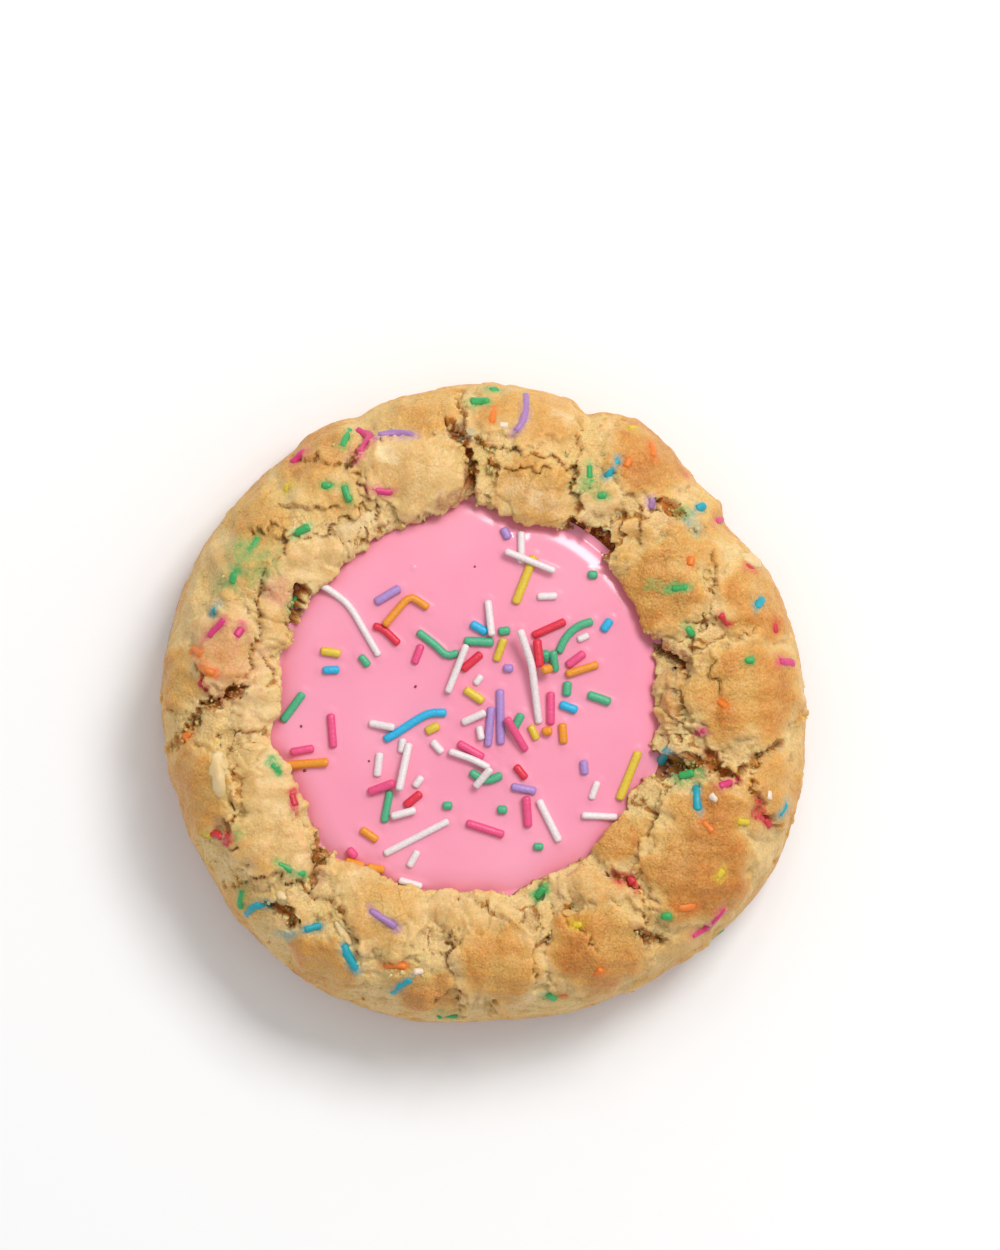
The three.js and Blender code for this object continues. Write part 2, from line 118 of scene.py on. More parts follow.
# Plates of crust: middle x and y, half length, half width, turn in degrees, rise, and how brown
PLATES = [
    [-10, 33.6, 8.2, 5.9, -12, 2.7, 0.15], [-22.5, 30.6, 6.4, 4.6, 25, 1.3, 0.2],
    [-17.8, 26.2, 4.2, 2.6, 30, 1.6, 0], [-25.1, 20.7, 6.2, 4.4, 20, 1.7, 0.15],
    [-24.7, 36.5, 6.6, 4.6, 40, 1.1, 0.65], [-32.5, 26.9, 5.6, 4.8, 50, 1.2, 0.5],
    [-35, 20.5, 5.6, 4.8, 60, 1.3, 0.3], [-30.9, 12.2, 3, 5.8, 0, 1.8, 0.2],
    [-37.5, 8, 5.2, 6.4, -15, 2.1, 0.2], [-44.3, 3.3, 3.4, 4.8, 0, 1.5, 0.6],
    [-41.7, -12.2, 5, 8, 8, 2.2, 0.55], [-31.6, -10.7, 5.4, 7.6, 15, 2.3, 0.1],
    [-33.1, 1.3, 3.8, 6, 0, 2, 0.05], [-31.1, -21, 6.8, 5.2, -30, 2.5, 0.25],
    [-23.2, -38, 6.6, 4.4, -35, 1.7, 0.65], [-28.4, -29.9, 4.6, 3.4, -30, 1.2, 0.2],
    [-35.5, -29.9, 4, 4.6, 20, 1.2, 0.5], [-14.8, -30.9, 7.8, 5.8, -40, 2.4, 0.4],
    [-19.5, -26.2, 4.8, 3, -28, 2, 0.15], [-8.5, -42, 6, 3.6, -8, 1.2, 0.9],
    [2.6, -38.3, 6.8, 6.2, 0, 2.3, 0.65], [-1.8, -30.9, 7, 3, 0, 2, 0.2],
    [16.8, -36.1, 8, 6.8, 20, 2.4, 0.78], [16.2, -27.2, 6.4, 2.5, -5, 2, 0.35],
    [31.3, -24.4, 8.8, 7.6, 45, 2.6, 0.9], [20.6, -20, 5, 4.1, 30, 2.1, 0.8],
    [27.4, 0.6, 1.7, 5.2, 0, 1.7, 0.35],
    [38.3, 1.5, 8.8, 8, 0, 2.6, 0.65], [25.4, 16.6, 7.8, 7, -40, 2.3, 0.75],
    [39.8, 15.1, 5.4, 7, 20, 2, 0.6], [34.7, 26.6, 3.8, 4.2, 10, 1.3, 0.45],
    [30.6, 22.6, 5, 3, -30, 1.8, 0.35], [24.4, 36.1, 7.4, 6.2, -35, 2.4, 0.75],
    [7.7, 31.3, 7.6, 5, -32, 2.3, 0.45], [6.7, 42.2, 8.8, 4.6, -8, 1.9, 0.35],
    [-8.5, 42, 6, 3.6, 15, 1.3, 0.5], [17.3, 29.7, 3.4, 2.8, 0, 1.4, 0.1],
    [22, 25.4, 4, 2.8, 0, 1.5, 0.3], [41.7, -12.9, 5, 6.6, -10, 1.9, 0.5],
    [32.8, -16.2, 6.4, 4.8, 20, 2.2, 0.75], [29, -35, 5, 3.4, 35, 1.2, 0.4],
    [23.4, -38, 3.6, 3, 20, 1.1, 0.3],
]

# Gaps torn open between the plates: half width, depth, and the line that the gap runs along. The plate
# at the line's left stands higher.
GAPS = [
    [0.7, 2.2, [[-4.2, 40.4], [-2.4, 37.8], [-1.5, 34.4], [-1.2, 32]]],
    [0.9, 2.9, [[-1.4, 32.4], [-0.9, 30]]], [1, 0.8, [[0.2, 38], [1.8, 34.8]]],
    [0.5, 1.2, [[-3.3, 44.4], [-2.6, 41.8], [-3.4, 39.6]]], [0.9, 2.3, [[26, 28.8], [28.6, 28]]],
    [0.25, 0.5, [[13.8, 40.2], [14.1, 35.8], [13.2, 32.2]]], [0.35, 1.1, [[13.4, 31.5], [14.4, 27.5]]],
    [2, 3.6, [[13.8, 25.8], [15.8, 24.6], [16.9, 22.7]]],
    [0.35, 0.6, [[26, 28.8], [23.4, 27], [20.4, 27.6], [17.6, 26.2]]],
    [1.3, 3.5, [[25.2, 9.4], [27.5, 7.2], [29.4, 5.9]]], [0.35, 1, [[28.9, -4.6], [29.8, 0.5], [29.6, 4.6]]],
    [1.7, 3.6, [[25, -8.6], [28, -9.2]]], [1.2, 1.9, [[28.4, -9], [33, -8.6], [36.4, -10.6]]],
    [0.7, 1.2, [[37.5, -10.6], [40.5, -7.6], [42.4, -6.2]]],
    [0.4, 1, [[39.2, -12.2], [40.5, -15.1], [42.1, -17.6]]],
    [0.25, 0.5, [[26.2, -13.6], [25, -18.8], [22.9, -23.2]]], [0.4, 1.2, [[19.1, -25], [22.1, -26.2]]],
    [0.3, 0.5, [[25, -33.6], [23.5, -29.1], [22.9, -24.2]]], [1.1, 1.5, [[23.4, -33.4], [25.4, -34.4]]],
    [0.3, 0.8, [[-4.6, -34.3], [-4.5, -38.3]]],
    [0.3, 0.8, [[-22.2, -29.1], [-19.6, -32.2], [-17.6, -35.4]]],
    [0.3, 0.9, [[-36.6, -26.4], [-31.3, -25.1], [-27.5, -26.6], [-25.1, -28]]],
    [0.9, 1.9, [[-24.4, -20.4], [-23.6, -22.4]]],
    [0.45, 1.2, [[-23.6, -22.4], [-23.4, -23.6], [-24.9, -26.6]]],
    [0.9, 2.1, [[-35.9, 2], [-37.8, 0.6], [-40.2, -0.2]]],
    [0.25, 0.7, [[-33.8, 8.6], [-34.6, 5.4], [-36, 2.2]]],
    [0.25, 0.5, [[-32.5, 16.6], [-32.2, 10.7], [-33.8, 8.6]]],
    [0.7, 0.9, [[-44.4, -6], [-42.8, -4.1], [-41.5, -2]]],
    [0.25, 0.7, [[-35.6, -13.6], [-36.5, -9.6], [-38, -5.6]]], [0.4, 1, [[-36.7, -15], [-36.4, -16.2]]],
    [0.3, 0.8, [[-37.4, -18], [-36.5, -20.4]]],
    [1.4, 3, [[-27.5, 16.2], [-28.2, 13.6], [-28, 11.2]]],
    [1, 1.8, [[-30.8, -29.6], [-28.8, -30.2], [-27.6, -31.4]]],
    [0.4, 0.9, [[9.2, -26.9], [8.2, -29.2]]],
    [0.5, 0.9, [[-14.4, 39.2], [-16.9, 38], [-19.5, 35]]],
]

# Narrow cracks in the plates and nicks in the outline, given in the same way
CRACKS = [
    [0.25, 0.5, [[-29.1, 24.3], [-23.2, 24.1], [-20.3, 26.9], [-16.3, 29.4]]],
    [0.3, 0.7, [[2.1, 37.7], [7, 36.5], [12.6, 34.6]]], [0.3, 0.6, [[4.6, 34.6], [8.9, 34.2]]],
    [0.3, 0.6, [[7.4, -39.9], [7.3, -36.2], [9.7, -33.9]]],
    [0.25, 0.6, [[33.7, 21], [33.6, 16.3], [32.7, 12.2], [31.3, 9.2]]],
    [0.25, 0.4, [[32.1, 12.5], [33.6, 12.6]]], [0.25, 0.5, [[38.7, 10.3], [34.7, 9.3], [30.4, 9.4]]],
    [0.3, 0.6, [[16.2, -35], [14.1, -33.3], [12.2, -31.3], [12.6, -29.1]]],
    [0.3, 0.5, [[0.2, -30.3], [1.4, -31.5], [3, -32.1], [4.5, -33], [5.5, -31.8]]],
    [0.25, 0.6, [[-28.7, 24], [-28.8, 22.1], [-29.9, 21.6]]], [0.25, 0.5, [[-31.8, 19.1], [-31.6, 17.6]]],
    [0.25, 0.5, [[-32.5, 25], [-30.6, 25.1]]], [0.3, 0.8, [[-34.7, -3.8], [-33.1, -4.4]]],
    [0.25, 0.6, [[-31.6, 5.9], [-30.6, 4.5], [-31.4, 3.2]]], [0.5, 0.8, [[-41.2, 4.4], [-40.3, 1.7]]],
    [0.25, 0.6, [[20.6, 26.6], [20.3, 24]]], [0.25, 0.6, [[23.2, 27.7], [23.5, 24.7]]],
    [0.25, 0.6, [[-18.1, 32.8], [-17.3, 31.3]]],
    [0.25, 0.5, [[-8.5, -43.9], [-3.6, -41.7], [-3.3, -44.6]]], [0.3, 0.6, [[1.8, -43.6], [2.6, -44.6]]],
    [0.25, 0.4, [[-25.7, 35.5], [-19.5, 35]]], [0.2, 0.4, [[-29.1, 28.8], [-22.5, 29]]],
    [0.2, 0.4, [[-15.9, 27.4], [-18.5, 24.4]]], [0.2, 0.4, [[33.9, 5.2], [34.4, 2.6]]],
    [0.7, 0.8, [[47.2, -0.8], [45.3, -1.8]]], [1.2, 0.8, [[36.2, -33.3], [34.3, -35]]],
    [1, 0.7, [[-47.6, 0.4], [-45.8, -0.4]]],
]

# Sugar strands baked into the crust, by colour, each as the x, y of its ends and bends
CRUST_STRANDS = {
    "pink": [
        [-28, 35.3, -26.1, 37.1], [-18.5, 40.2, -16.3, 38.9, -18.1, 36.5], [-17, 31.3, -13.4, 30.8],
        [-37.7, 12.3, -40.1, 9.7], [-35.9, 9.7, -35.1, 11.1], [35.6, -30, 33.6, -32.5, 30.8, -34.3],
        [34.5, -12.2, 37.3, -11.2], [31.6, -4.1, 32.6, -4.1], [43.5, 6.1, 45.8, 5.8],
        [34.3, 26.7, 35.7, 27.2], [30.6, 33.4, 31.2, 32.8],
    ],
    "lilac": [
        [-15.3, 39.2, -12.2, 39.6, -10, 39.2], [-16.4, -30.2, -12.6, -32.7], [24.7, 28.5, 24.7, 29.8],
        [6.4, 45.4, 6.3, 42.3, 4.8, 39.5],
    ],
    "green": [
        [-20.5, 37.5, -19.5, 40.3], [-23.2, 31.8, -22.3, 31.8], [-20.3, 31.8, -19.3, 29.4],
        [-27.5, 24.6, -25.2, 26], [-33.7, 22.8, -32.8, 24.3], [-36.8, 17.5, -36.2, 19.2],
        [-29.9, -23.2, -27.5, -24.6, -25.7, -25.2], [-35.7, -30.1, -35.2, -27.5],
        [-30.7, -8.6, -29.9, -9.9], [-6.7, -46.1, -3.8, -46.1], [9.3, -42.7, 10.9, -43.6],
        [9.2, -26.9, 7.9, -28.5], [26.4, -31.1, 27.4, -31.1], [28.8, -10.6, 31, -10.2],
        [38.6, 6.3, 39.5, 6.3], [29.9, 11.2, 30.7, 9.8], [27.7, 16.9, 30, 16.9],
        [15.7, 32.8, 15.7, 34.9], [16.9, 30.3, 18.1, 30.3], [-1.7, 44.2, 1, 44.2], [1, 46, 2.4, 46],
        [-28.1, 13.9, -27.2, 15.4],
    ],
    "teal": [
        [-34.7, -31.3, -33.3, -29.6, -31.1, -29.4], [-26.1, -33.2, -23.6, -32.5],
        [-20.3, -35.3, -18.5, -39.2], [-10.4, -40.3, -13.4, -42.6], [31.2, -12.2, 31.5, -15.7],
        [43.5, -16.6, 44.8, -14.8], [40.1, 14, 41.2, 15.4], [31.5, 28.5, 32.6, 28.9],
        [20, 35.6, 18.1, 33.1], [26.1, -8.8, 27.1, -6.7], [-39.4, 13.2, -38.6, 14.4],
    ],
    "orange": [
        [-42.2, 7.7, -41.1, 7.2], [-40.7, 4.9, -39.1, 4.3], [-14.4, -38.4, -11.1, -38.4],
        [11.2, -43.1, 12.5, -43.1], [16.7, -39.8, 17.3, -38.8], [28.5, -30, 31.2, -29.8],
        [32.2, -17.3, 33.7, -18.8], [34.5, 0.4, 35.6, -0.5], [30.5, 20.1, 30.5, 21.3],
        [24.8, 38.3, 25.2, 35.9], [21, 34.7, 21.6, 35.7], [1.3, 41, 1.8, 43.6],
        [-43.9, -5.5, -42.7, -4.1],
    ],
    "red": [
        [-41.2, 3.2, -40.4, 1.9], [-39.4, -19.2, -38.3, -19.6], [-37.8, -20.6, -37, -19.3],
        [21.3, -25.3, 21.9, -26.5], [39.7, -16.4, 41.3, -17], [41.5, -17.1, 42.1, -18.1],
        [43, 10.4, 43, 11.6], [34.7, 13, 36, 11.4], [38.8, 20.2, 39.8, 19.8], [-27.7, -13.2, -27.3, -15.5],
    ],
    "yellow": [
        [-28.9, 31, -28.2, 32.3], [-41, -19, -39.7, -19.5], [13.2, -32.2, 14.4, -32.2],
        [34.5, -25.6, 35.3, -24.4], [37.4, -17.3, 38.6, -17.3], [21.6, 40.5, 22.5, 40.5],
    ],
    "white": [
        [-10, -39.2, -8.7, -39.2], [32.6, -9.4, 32.8, -10.5],
        [33.3, -13.4, 34.2, -14.2], [41.9, -14.2, 42.1, -12.8], [2.4, 40.8, 3.9, 40.8],
    ],
}
STRAND_COLOURS = {
    "white": "F4E6E6", "pink": "F2558A", "red": "E8324A", "orange": "F39A2B",
    "yellow": "E9C83F", "green": "52B788", "blue": "2DB7E5", "lilac": "B48FD0",
}
BAKED_COLOURS = {
    "white": "F3DCC6", "pink": "DD3B78", "red": "D8353F", "orange": "F07F22",
    "yellow": "E6C52F", "green": "3DAE5E", "teal": "17A5B5", "lilac": "B07FB8", "cream": "F0DDB0",
    # icing: the dark maroon of the painted shade beside the icing
    "icing": "923C2A",
}

# Where the colour of a strand has run into the dough, and where maroon shade is painted in the holes beside
# the icing (rows named icing): colour, strength, radius, and the line it ran along
RUNS_AND_PAINTED_SHADE = [
    ["pink", 0.5, 1.2, [[-18.1, 38], [-18.8, 35.8]]], ["green", 0.42, 3.6, [[-34.9, 21.6], [-33.4, 20.4]]],
    ["green", 0.4, 1.4, [[-39.4, 17.6], [-38.6, 17.6]]], ["green", 0.3, 1, [[-37, 23.5], [-36, 23.5]]],
    ["green", 0.5, 1, [[-36, -19.1], [-35.2, -19.1]]], ["red", 0.7, 0.8, [[-37.6, -20.4], [-37.2, -19.6]]],
    ["teal", 0.5, 0.9, [[-30, -33.8], [-28.1, -34]]], ["red", 0.3, 1, [[-28.1, -36.2], [-26.9, -38.7]]],
    ["green", 0.5, 0.9, [[24.1, 17], [28.8, 16.9]]], ["teal", 0.5, 1.5, [[31, 26.6], [31.6, 26]]],
    ["green", 0.7, 1.1, [[29, 28.1], [29.8, 28.1]]], ["green", 0.5, 1.6, [[14.6, 32.1], [15.4, 32.1]]],
    ["teal", 0.3, 1.4, [[-3.8, 39.5], [-2.6, 39.5]]], ["red", 0.7, 0.8, [[40.3, -14.5], [41.8, -17.5]]],
    ["red", 0.7, 0.8, [[19.5, -25.4], [22.6, -26.9]]], ["pink", 0.5, 0.7, [[-27.5, -13.4], [-27.5, -15.4]]],
    ["pink", 0.3, 2, [[-30.2, 16.6], [-29.6, 15.8]]], ["green", 0.7, 1.6, [[29.2, -10.4], [30.6, -10.4]]],
    ["teal", 0.8, 1.3, [[25.8, -8.6], [28, -9]]], ["green", 0.6, 1, [[-30.6, -9], [-30, -9.4]]],
    ["green", 0.6, 1.1, [[8.9, -27.2], [8.1, -28.2]]], ["pink", 0.16, 4.5, [[-37.6, 8.5], [-36.8, 5]]],
    ["orange", 0.5, 1, [[-42, 7.4], [-41.4, 7.4]]], ["orange", 0.45, 1.1, [[-40.4, 4.6], [-39.4, 4.6]]],
    ["cream", 0.4, 1.5, [[5.2, 31.6], [10.4, 28.6]]], ["cream", 0.4, 1, [[11, 42.6], [13, 41.6]]],
    # Rows named icing are painted maroon shade in the holes and crevices beside the icing
    ["cream", 0.7, 1, [[-14.4, 36.8], [-12.9, 36]]], ["icing", 0.6, 1, [[-6, 29.2], [-1.6, 31], [-2.2, 34]]],
    ["icing", 0.8, 1.4, [[13.8, 25.6], [17.2, 23.2]]], ["icing", 0.6, 1.1, [[25.6, 9.2], [29.6, 5.9]]],
    ["icing", 0.3, 1.2, [[27.4, 4.6], [27.8, -3]]], ["icing", 0.4, 1, [[-36.3, 1.6], [-38, 0.4]]],
    ["icing", 0.35, 1.6, [[27.4, -7.8], [33, -8.4]]], ["icing", 0.35, 1.1, [[23, -33], [25.8, -34.8]]],
    ["icing", 0.3, 1, [[41, -13.4], [39.8, -15.6]]], ["icing", 0.25, 1.5, [[26.9, 28], [29, 27.4]]],
    ["icing", 0.4, 1, [[-24.5, -21.8], [-24.2, -25.6]]], ["icing", 0.5, 0.8, [[19.1, -25], [22, -26]]],
    ["cream", 0.5, 1, [[-27.5, 25], [-25.5, 25.6]]], ["cream", 0.5, 0.9, [[-20.5, 25.2], [-16.8, 26.8]]],
]

# How finely the dough is divided: bearings round it, and the distance between rows along its section
BEARINGS = 780
ROW_PLACES = [0, 8, 16, 26, 40]
ROW_PITCHES = [0.62, 0.5, 0.36, 0.3, 0.27]
UNDERSIDE_ROWS = [0.2, 0.4, 0.6, 0.75, 0.86, 0.93, 0.975]
SECTION_STEPS = 600

LATTICE = np.random.default_rng(23)
LATTICE_SIZE = 256
LATTICE_ORDER = LATTICE.permutation(LATTICE_SIZE)
LATTICE_SLOPES = LATTICE.normal(size=(LATTICE_SIZE, 3))
LATTICE_SLOPES /= np.linalg.norm(LATTICE_SLOPES, axis=1, keepdims=True)
LATTICE_SEEDS = LATTICE.random((LATTICE_SIZE, 3))
NOISE_GAIN = 1.7
FAR = 9.0


def smoothstep(low, high, value):
    """0 below low, 1 above high, and 3t^2 - 2t^3 between them."""
    t = np.clip((value - low) / (high - low), 0, 1)
    return t * t * (3 - 2 * t)


def lattice_number(cell):
    """A shuffled number for each cell of an endless cubic lattice."""
    number = LATTICE_ORDER[cell[..., 0] % LATTICE_SIZE]
    number = LATTICE_ORDER[(number + cell[..., 1]) % LATTICE_SIZE]
    return LATTICE_ORDER[(number + cell[..., 2]) % LATTICE_SIZE]


def unevenness(points, grain, shift=0.0):
    """Smooth gradient noise from about -1 to 1, with lumps about one grain wide. Each corner of the cell
    round a point has its own slope; the slope times the way from that corner is faded between the
    corners by 6t^5 - 15t^4 + 10t^3."""
    place = points / grain + shift
    cell = np.floor(place).astype(int)
    inside = place - cell
    fade = inside**3 * (inside * (6 * inside - 15) + 10)
    total = np.zeros(place.shape[:-1])
    for corner in itertools.product((0, 1), repeat=3):
        share = np.prod(np.where(corner, fade, 1 - fade), axis=-1)
        slope = LATTICE_SLOPES[lattice_number(cell + corner)]
        total += share * np.sum(slope * (inside - corner), axis=-1)
    return NOISE_GAIN * total


def layered(points, layers):
    """The sum of noises, each given by its height, the width of its lumps and its place in the noise."""
    total = np.zeros(points.shape[:-1])
    for height, grain, shift in layers:
        total = total + height * unevenness(points, grain, shift)
    return total


def wandering(points, reach, grain, *shifts):
    """Points moved about by noise, by its own place in the noise along each axis, so that the borders
    drawn through them wander."""
    return points + reach * np.stack([unevenness(points, grain, shift) for shift in shifts], -1)


def clumps(points, grain, shift=0.0):
    """Splits space into irregular clumps about one grain wide, each round a seed drawn in its own cubic
    cell. Gives the ways from each point to its two nearest seeds, half the lead that the first has
    over the second, which is 0 on the border, and a number from 0 to 1 for the clump."""
    place = points / grain + shift
    cell = np.floor(place).astype(int)
    way = np.zeros(place.shape)
    next_way = way
    lot = np.zeros(place.shape[:-1])
    nearest = np.full(lot.shape, FAR)
    second = nearest
    for step in itertools.product((-1, 0, 1), repeat=3):
        number = lattice_number(cell + step)
        other = cell + step + LATTICE_SEEDS[number] - place
        distance = np.linalg.norm(other, axis=-1)
        nearer = distance < nearest
        between = ~nearer & (distance < second)
        next_way = np.where(nearer[..., None], way, np.where(between[..., None], other, next_way))
        second = np.where(nearer, nearest, np.where(between, distance, second))
        way = np.where(nearer[..., None], other, way)
        nearest = np.where(nearer, distance, nearest)
        lot = np.where(nearer, number / LATTICE_SIZE, lot)
    return grain * way, grain * next_way, grain * (second - nearest) / 2, lot


def catmull_rom(a, b, c, d, t):
    """A smooth way from b to c, with slope (c - a) / 2 at b and (d - b) / 2 at c."""
    return b + 0.5 * t * (c - a + t * (2 * a - 5 * b + 4 * c - d + t * (3 * (b - c) + d - a)))


def around(offsets, bearing):
    """A closed run of values, evenly spread over one turn, read smoothly at any bearing."""
    offsets = np.asarray(offsets)
    place = (bearing / (2 * np.pi)) % 1 * len(offsets)
    i = np.floor(place).astype(int)
    near = [offsets[(i + step) % len(offsets)] for step in (-1, 0, 1, 2)]
    return catmull_rom(*near, place - i)


def full_turn(count):
    """Bearings evenly spread over one turn."""
    return np.linspace(0, 2 * np.pi, count, endpoint=False)


def at_bearing(bearing, radius):
    """The point at a bearing and radius, as x and y."""
    return np.stack([radius * np.cos(bearing), radius * np.sin(bearing)], axis=-1)


def with_height(plan, height):
    """Places given as x and y, made points at one height or at a height each."""
    return np.concatenate([plan, np.broadcast_to(height, plan.shape[:-1])[..., None]], axis=-1)


def edge_radius(diameter, offsets, bulges, bearing):
    """The radius of an uneven circle: that of the true one, its offset, and each bulge as the bell curve
    depth e^-(turn/width)^2."""
    radius = diameter / 2 + around(offsets, bearing)
    for middle, width, depth in bulges:
        turn = (np.degrees(bearing) - middle + 180) % 360 - 180
        radius = radius + depth * np.exp(-((turn / width) ** 2))
    return radius


def well_radius(bearing):
    """The radius of the well's edge about its own middle."""
    return edge_radius(WELL_DIAMETER, WELL_OFFSETS, WELL_BULGES, bearing)


def ring_section():
    """The ring's section from the foot round the outside and over the crest to the lip, as the share of
    the way from the well's edge to the outer edge, and the height. Three quarter turns follow each
    other: the skirt, the outer superellipse and the inner one. Rows stand one pitch apart."""
    a = np.linspace(0, np.pi / 2, SECTION_STEPS)
    crest_line = CREST_LINE * RING_WIDTH
    out, over = np.cos(a) ** (2 / OUTER_ROUNDNESS), np.sin(a) ** (2 / OUTER_ROUNDNESS)
    down, inward = np.cos(a) ** (2 / INNER_ROUNDNESS), np.sin(a) ** (2 / INNER_ROUNDNESS)
    x = np.concatenate([
        RING_WIDTH - FOOT_INSET * (1 - np.sin(a)),
        crest_line + (RING_WIDTH - crest_line) * out,
        crest_line * (1 - inward),
    ])
    z = np.concatenate([
        WIDEST_LINE * (1 - np.cos(a)),
        WIDEST_LINE + (CREST - WIDEST_LINE) * over,
        LIP + (CREST - LIP) * down,
    ])
    step = np.hypot(np.diff(x, prepend=x[0]), np.diff(z, prepend=z[0]))
    pitch = np.interp(np.cumsum(step), ROW_PLACES, ROW_PITCHES)
    row = np.cumsum(step / pitch)
    places = np.linspace(0, row[-1], round(row[-1]))
    return np.interp(places, row, x) / RING_WIDTH, np.interp(places, row, z)


def off_run(x, y, points):
    """The distance in plan to a line that runs through points, which is the least of those to its
    stretches, and whether the place is at the line's left."""
    nearest = np.full(np.shape(x), np.inf)
    left = np.zeros(np.shape(x), bool)
    for (ax, ay), (bx, by) in itertools.pairwise(points):
        along = ((x - ax) * (bx - ax) + (y - ay) * (by - ay)) / ((bx - ax) ** 2 + (by - ay) ** 2)
        t = np.clip(along, 0, 1)
        distance = np.hypot(x - ax - t * (bx - ax), y - ay - t * (by - ay))
        left = np.where(distance < nearest, (bx - ax) * (y - ay) > (by - ay) * (x - ax), left)
        nearest = np.minimum(nearest, distance)
    return nearest, left


def distance_to_run(x, y, points):
    """The distance in plan to a line that runs through points."""
    return off_run(x, y, points)[0]


def near_strands(x, y, strands_by_colour, touching, clear):
    """How near each place is to a strand: 1 up to touching off its line, and 0 from clear on."""
    near = np.zeros(x.shape)
    for flat in itertools.chain(*strands_by_colour.values()):
        distance = distance_to_run(x, y, np.reshape(flat, (-1, 2)))
        near = np.maximum(near, 1 - smoothstep(touching, clear, distance))
    return near


# Waves of the whole dough: height, the slopes of a sine along x, y and z, and those of what crosses it
SWELLS = [
    [0.4, [0.52, 0.31, 0.21], np.cos, [-0.19, 0.43, -0.3]],
    [0.24, [0.93, -0.72, 0.45], np.sin, [0.55, 0.94, -0.5]],
    [0.16, [1.4, 1.05, 0.8], np.sin, [-0.97, 1.3, 0.7]],
]


def swell(points):
    """Soft unevenness of the whole dough, from a few waves that cross at odd angles."""
    x, y, z = np.moveaxis(points, -1, 0)
    total = np.zeros(x.shape)
    for height, (a, b, c), crossing, (d, e, f) in SWELLS:
        total = total + height * np.sin(a * x + b * y + c * z) * crossing(d * x + e * y + f * z)
    return total


# A plate's outline is bent by waves and noise that reach this far. Its height and its brownness are
# judged at these shares of the way to the clump's middle, and the brown fades out over these distances.
OUTLINE_WAVE = 0.6
OUTLINE_NOISE = 0.8
HEIGHT_SHARE = 0.8
BROWN_SHARE = 0.2
BROWN_FADE = (0.55, 1.15)

# A crack is at least this wide, slopes down over this many times its width, and is drawn in as painted shade
# over a part of it. Dough is torn beside wide gaps, and where no plate rises.
NARROWEST = 0.2
CRACK_SLOPE = 1.2
CRACK_DRAWN = 0.4
WIDTH_NOISE = 0.6
WIDE_GAP = (0.1, 0.7)
TORN_BESIDE = 0.8
TORN_LOW = 0.6
NO_PLATE = (0.9, 1.5)


def plates_and_gaps(points):
    """Plate height, depth of the gaps, brownness, how torn the dough is, and the distance to the nearest
    crack. A plate's height is rise (1 - off^2)^steepness, off being the distance from its middle in
    its own half axes, and noise bends its outline. Plates melt together: their sum is k log(the sum
    of e^(height/k)). Dough tears round clumps: a plate is judged most of the way to the middle of the
    point's own clump, a crack runs where two clumps meet that lie on either side of its line, and in
    a gap the clumps whose middles are well within its half width are torn out as well. Beside a crack
    its left stands up and its right lies down by a step that fades away from it."""
    x, y, _ = np.moveaxis(points, -1, 0)
    wave_x = x + OUTLINE_WAVE * np.sin(1.1 * y + 0.4 * x) + OUTLINE_NOISE * unevenness(points, 3, 3.1)
    wave_y = y + OUTLINE_WAVE * np.sin(x - 0.5 * y + 2) + OUTLINE_NOISE * unevenness(points, 3, 13.3)
    bent = wandering(points, 0.3, 1.5, 2.2, 5.2, 9.2)
    way, next_way, border, _ = clumps(bent, CLUMP, 3.1)
    total = np.full(x.shape, math.exp(LEAST_RISE / MELT))
    bake = np.zeros(x.shape)
    for px, py, length, width, turn, rise, brown in PLATES:
        angle = math.radians(turn)

        def off_middle(share):
            """The distance off the plate's middle, with that share of the way to the clump's middle."""
            plate_x, plate_y = wave_x + share * way[..., 0] - px, wave_y + share * way[..., 1] - py
            along = plate_x * math.cos(angle) + plate_y * math.sin(angle)
            aside = plate_y * math.cos(angle) - plate_x * math.sin(angle)
            return np.hypot(along / length, aside / width)

        height = rise * np.clip(1 - off_middle(HEIGHT_SHARE) ** 2, 0, 1) ** PLATE_STEEPNESS
        total += np.exp(height / MELT) - 1
        bake = np.maximum(bake, brown * (1 - smoothstep(*BROWN_FADE, off_middle(BROWN_SHARE))))
    plate = MELT * np.log(total)
    middle_x, middle_y, _ = np.moveaxis(bent + way, -1, 0)
    next_x, next_y, _ = np.moveaxis(bent + next_way, -1, 0)
    gap, step, beside = (np.zeros(x.shape) for _ in range(3))
    crack = np.full(x.shape, FAR)
    varied = 1 + WIDTH_NOISE * unevenness(points, 4.5, 21.7)
    for tears, (half, depth, run) in [(True, row) for row in GAPS] + [(False, row) for row in CRACKS]:
        distance = distance_to_run(bent[..., 0], bent[..., 1], run)
        from_middle, left = off_run(middle_x, middle_y, run)
        from_next, next_left = off_run(next_x, next_y, run)
        between = (left != next_left) & (distance < CLUMP)
        width = np.maximum(half * varied, NARROWEST)
        from_crack = np.where(between, border, FAR)
        gap = np.maximum(gap, depth * (1 - smoothstep(0, CRACK_SLOPE, from_crack / width)))
        crack = np.minimum(crack, from_crack - CRACK_DRAWN * width)
        step += np.where(left, STEP, -STEP) * (1 - smoothstep(*STEP_REACH, distance))
        if tears:
            loose = half * varied - FIRM
            wall = np.where(from_next < loose, 1, smoothstep(0, WALL, border))
            gap = np.maximum(gap, np.where(from_middle < loose, depth * wall, 0))
            crumbly = smoothstep(*WIDE_GAP, half)
            beside = np.maximum(beside, crumbly * (1 - smoothstep(0, TORN_BESIDE, distance - half)))
    torn = np.maximum(TORN_LOW * (1 - smoothstep(*NO_PLATE, plate)), beside)
    return plate + step, gap, bake, torn, crack


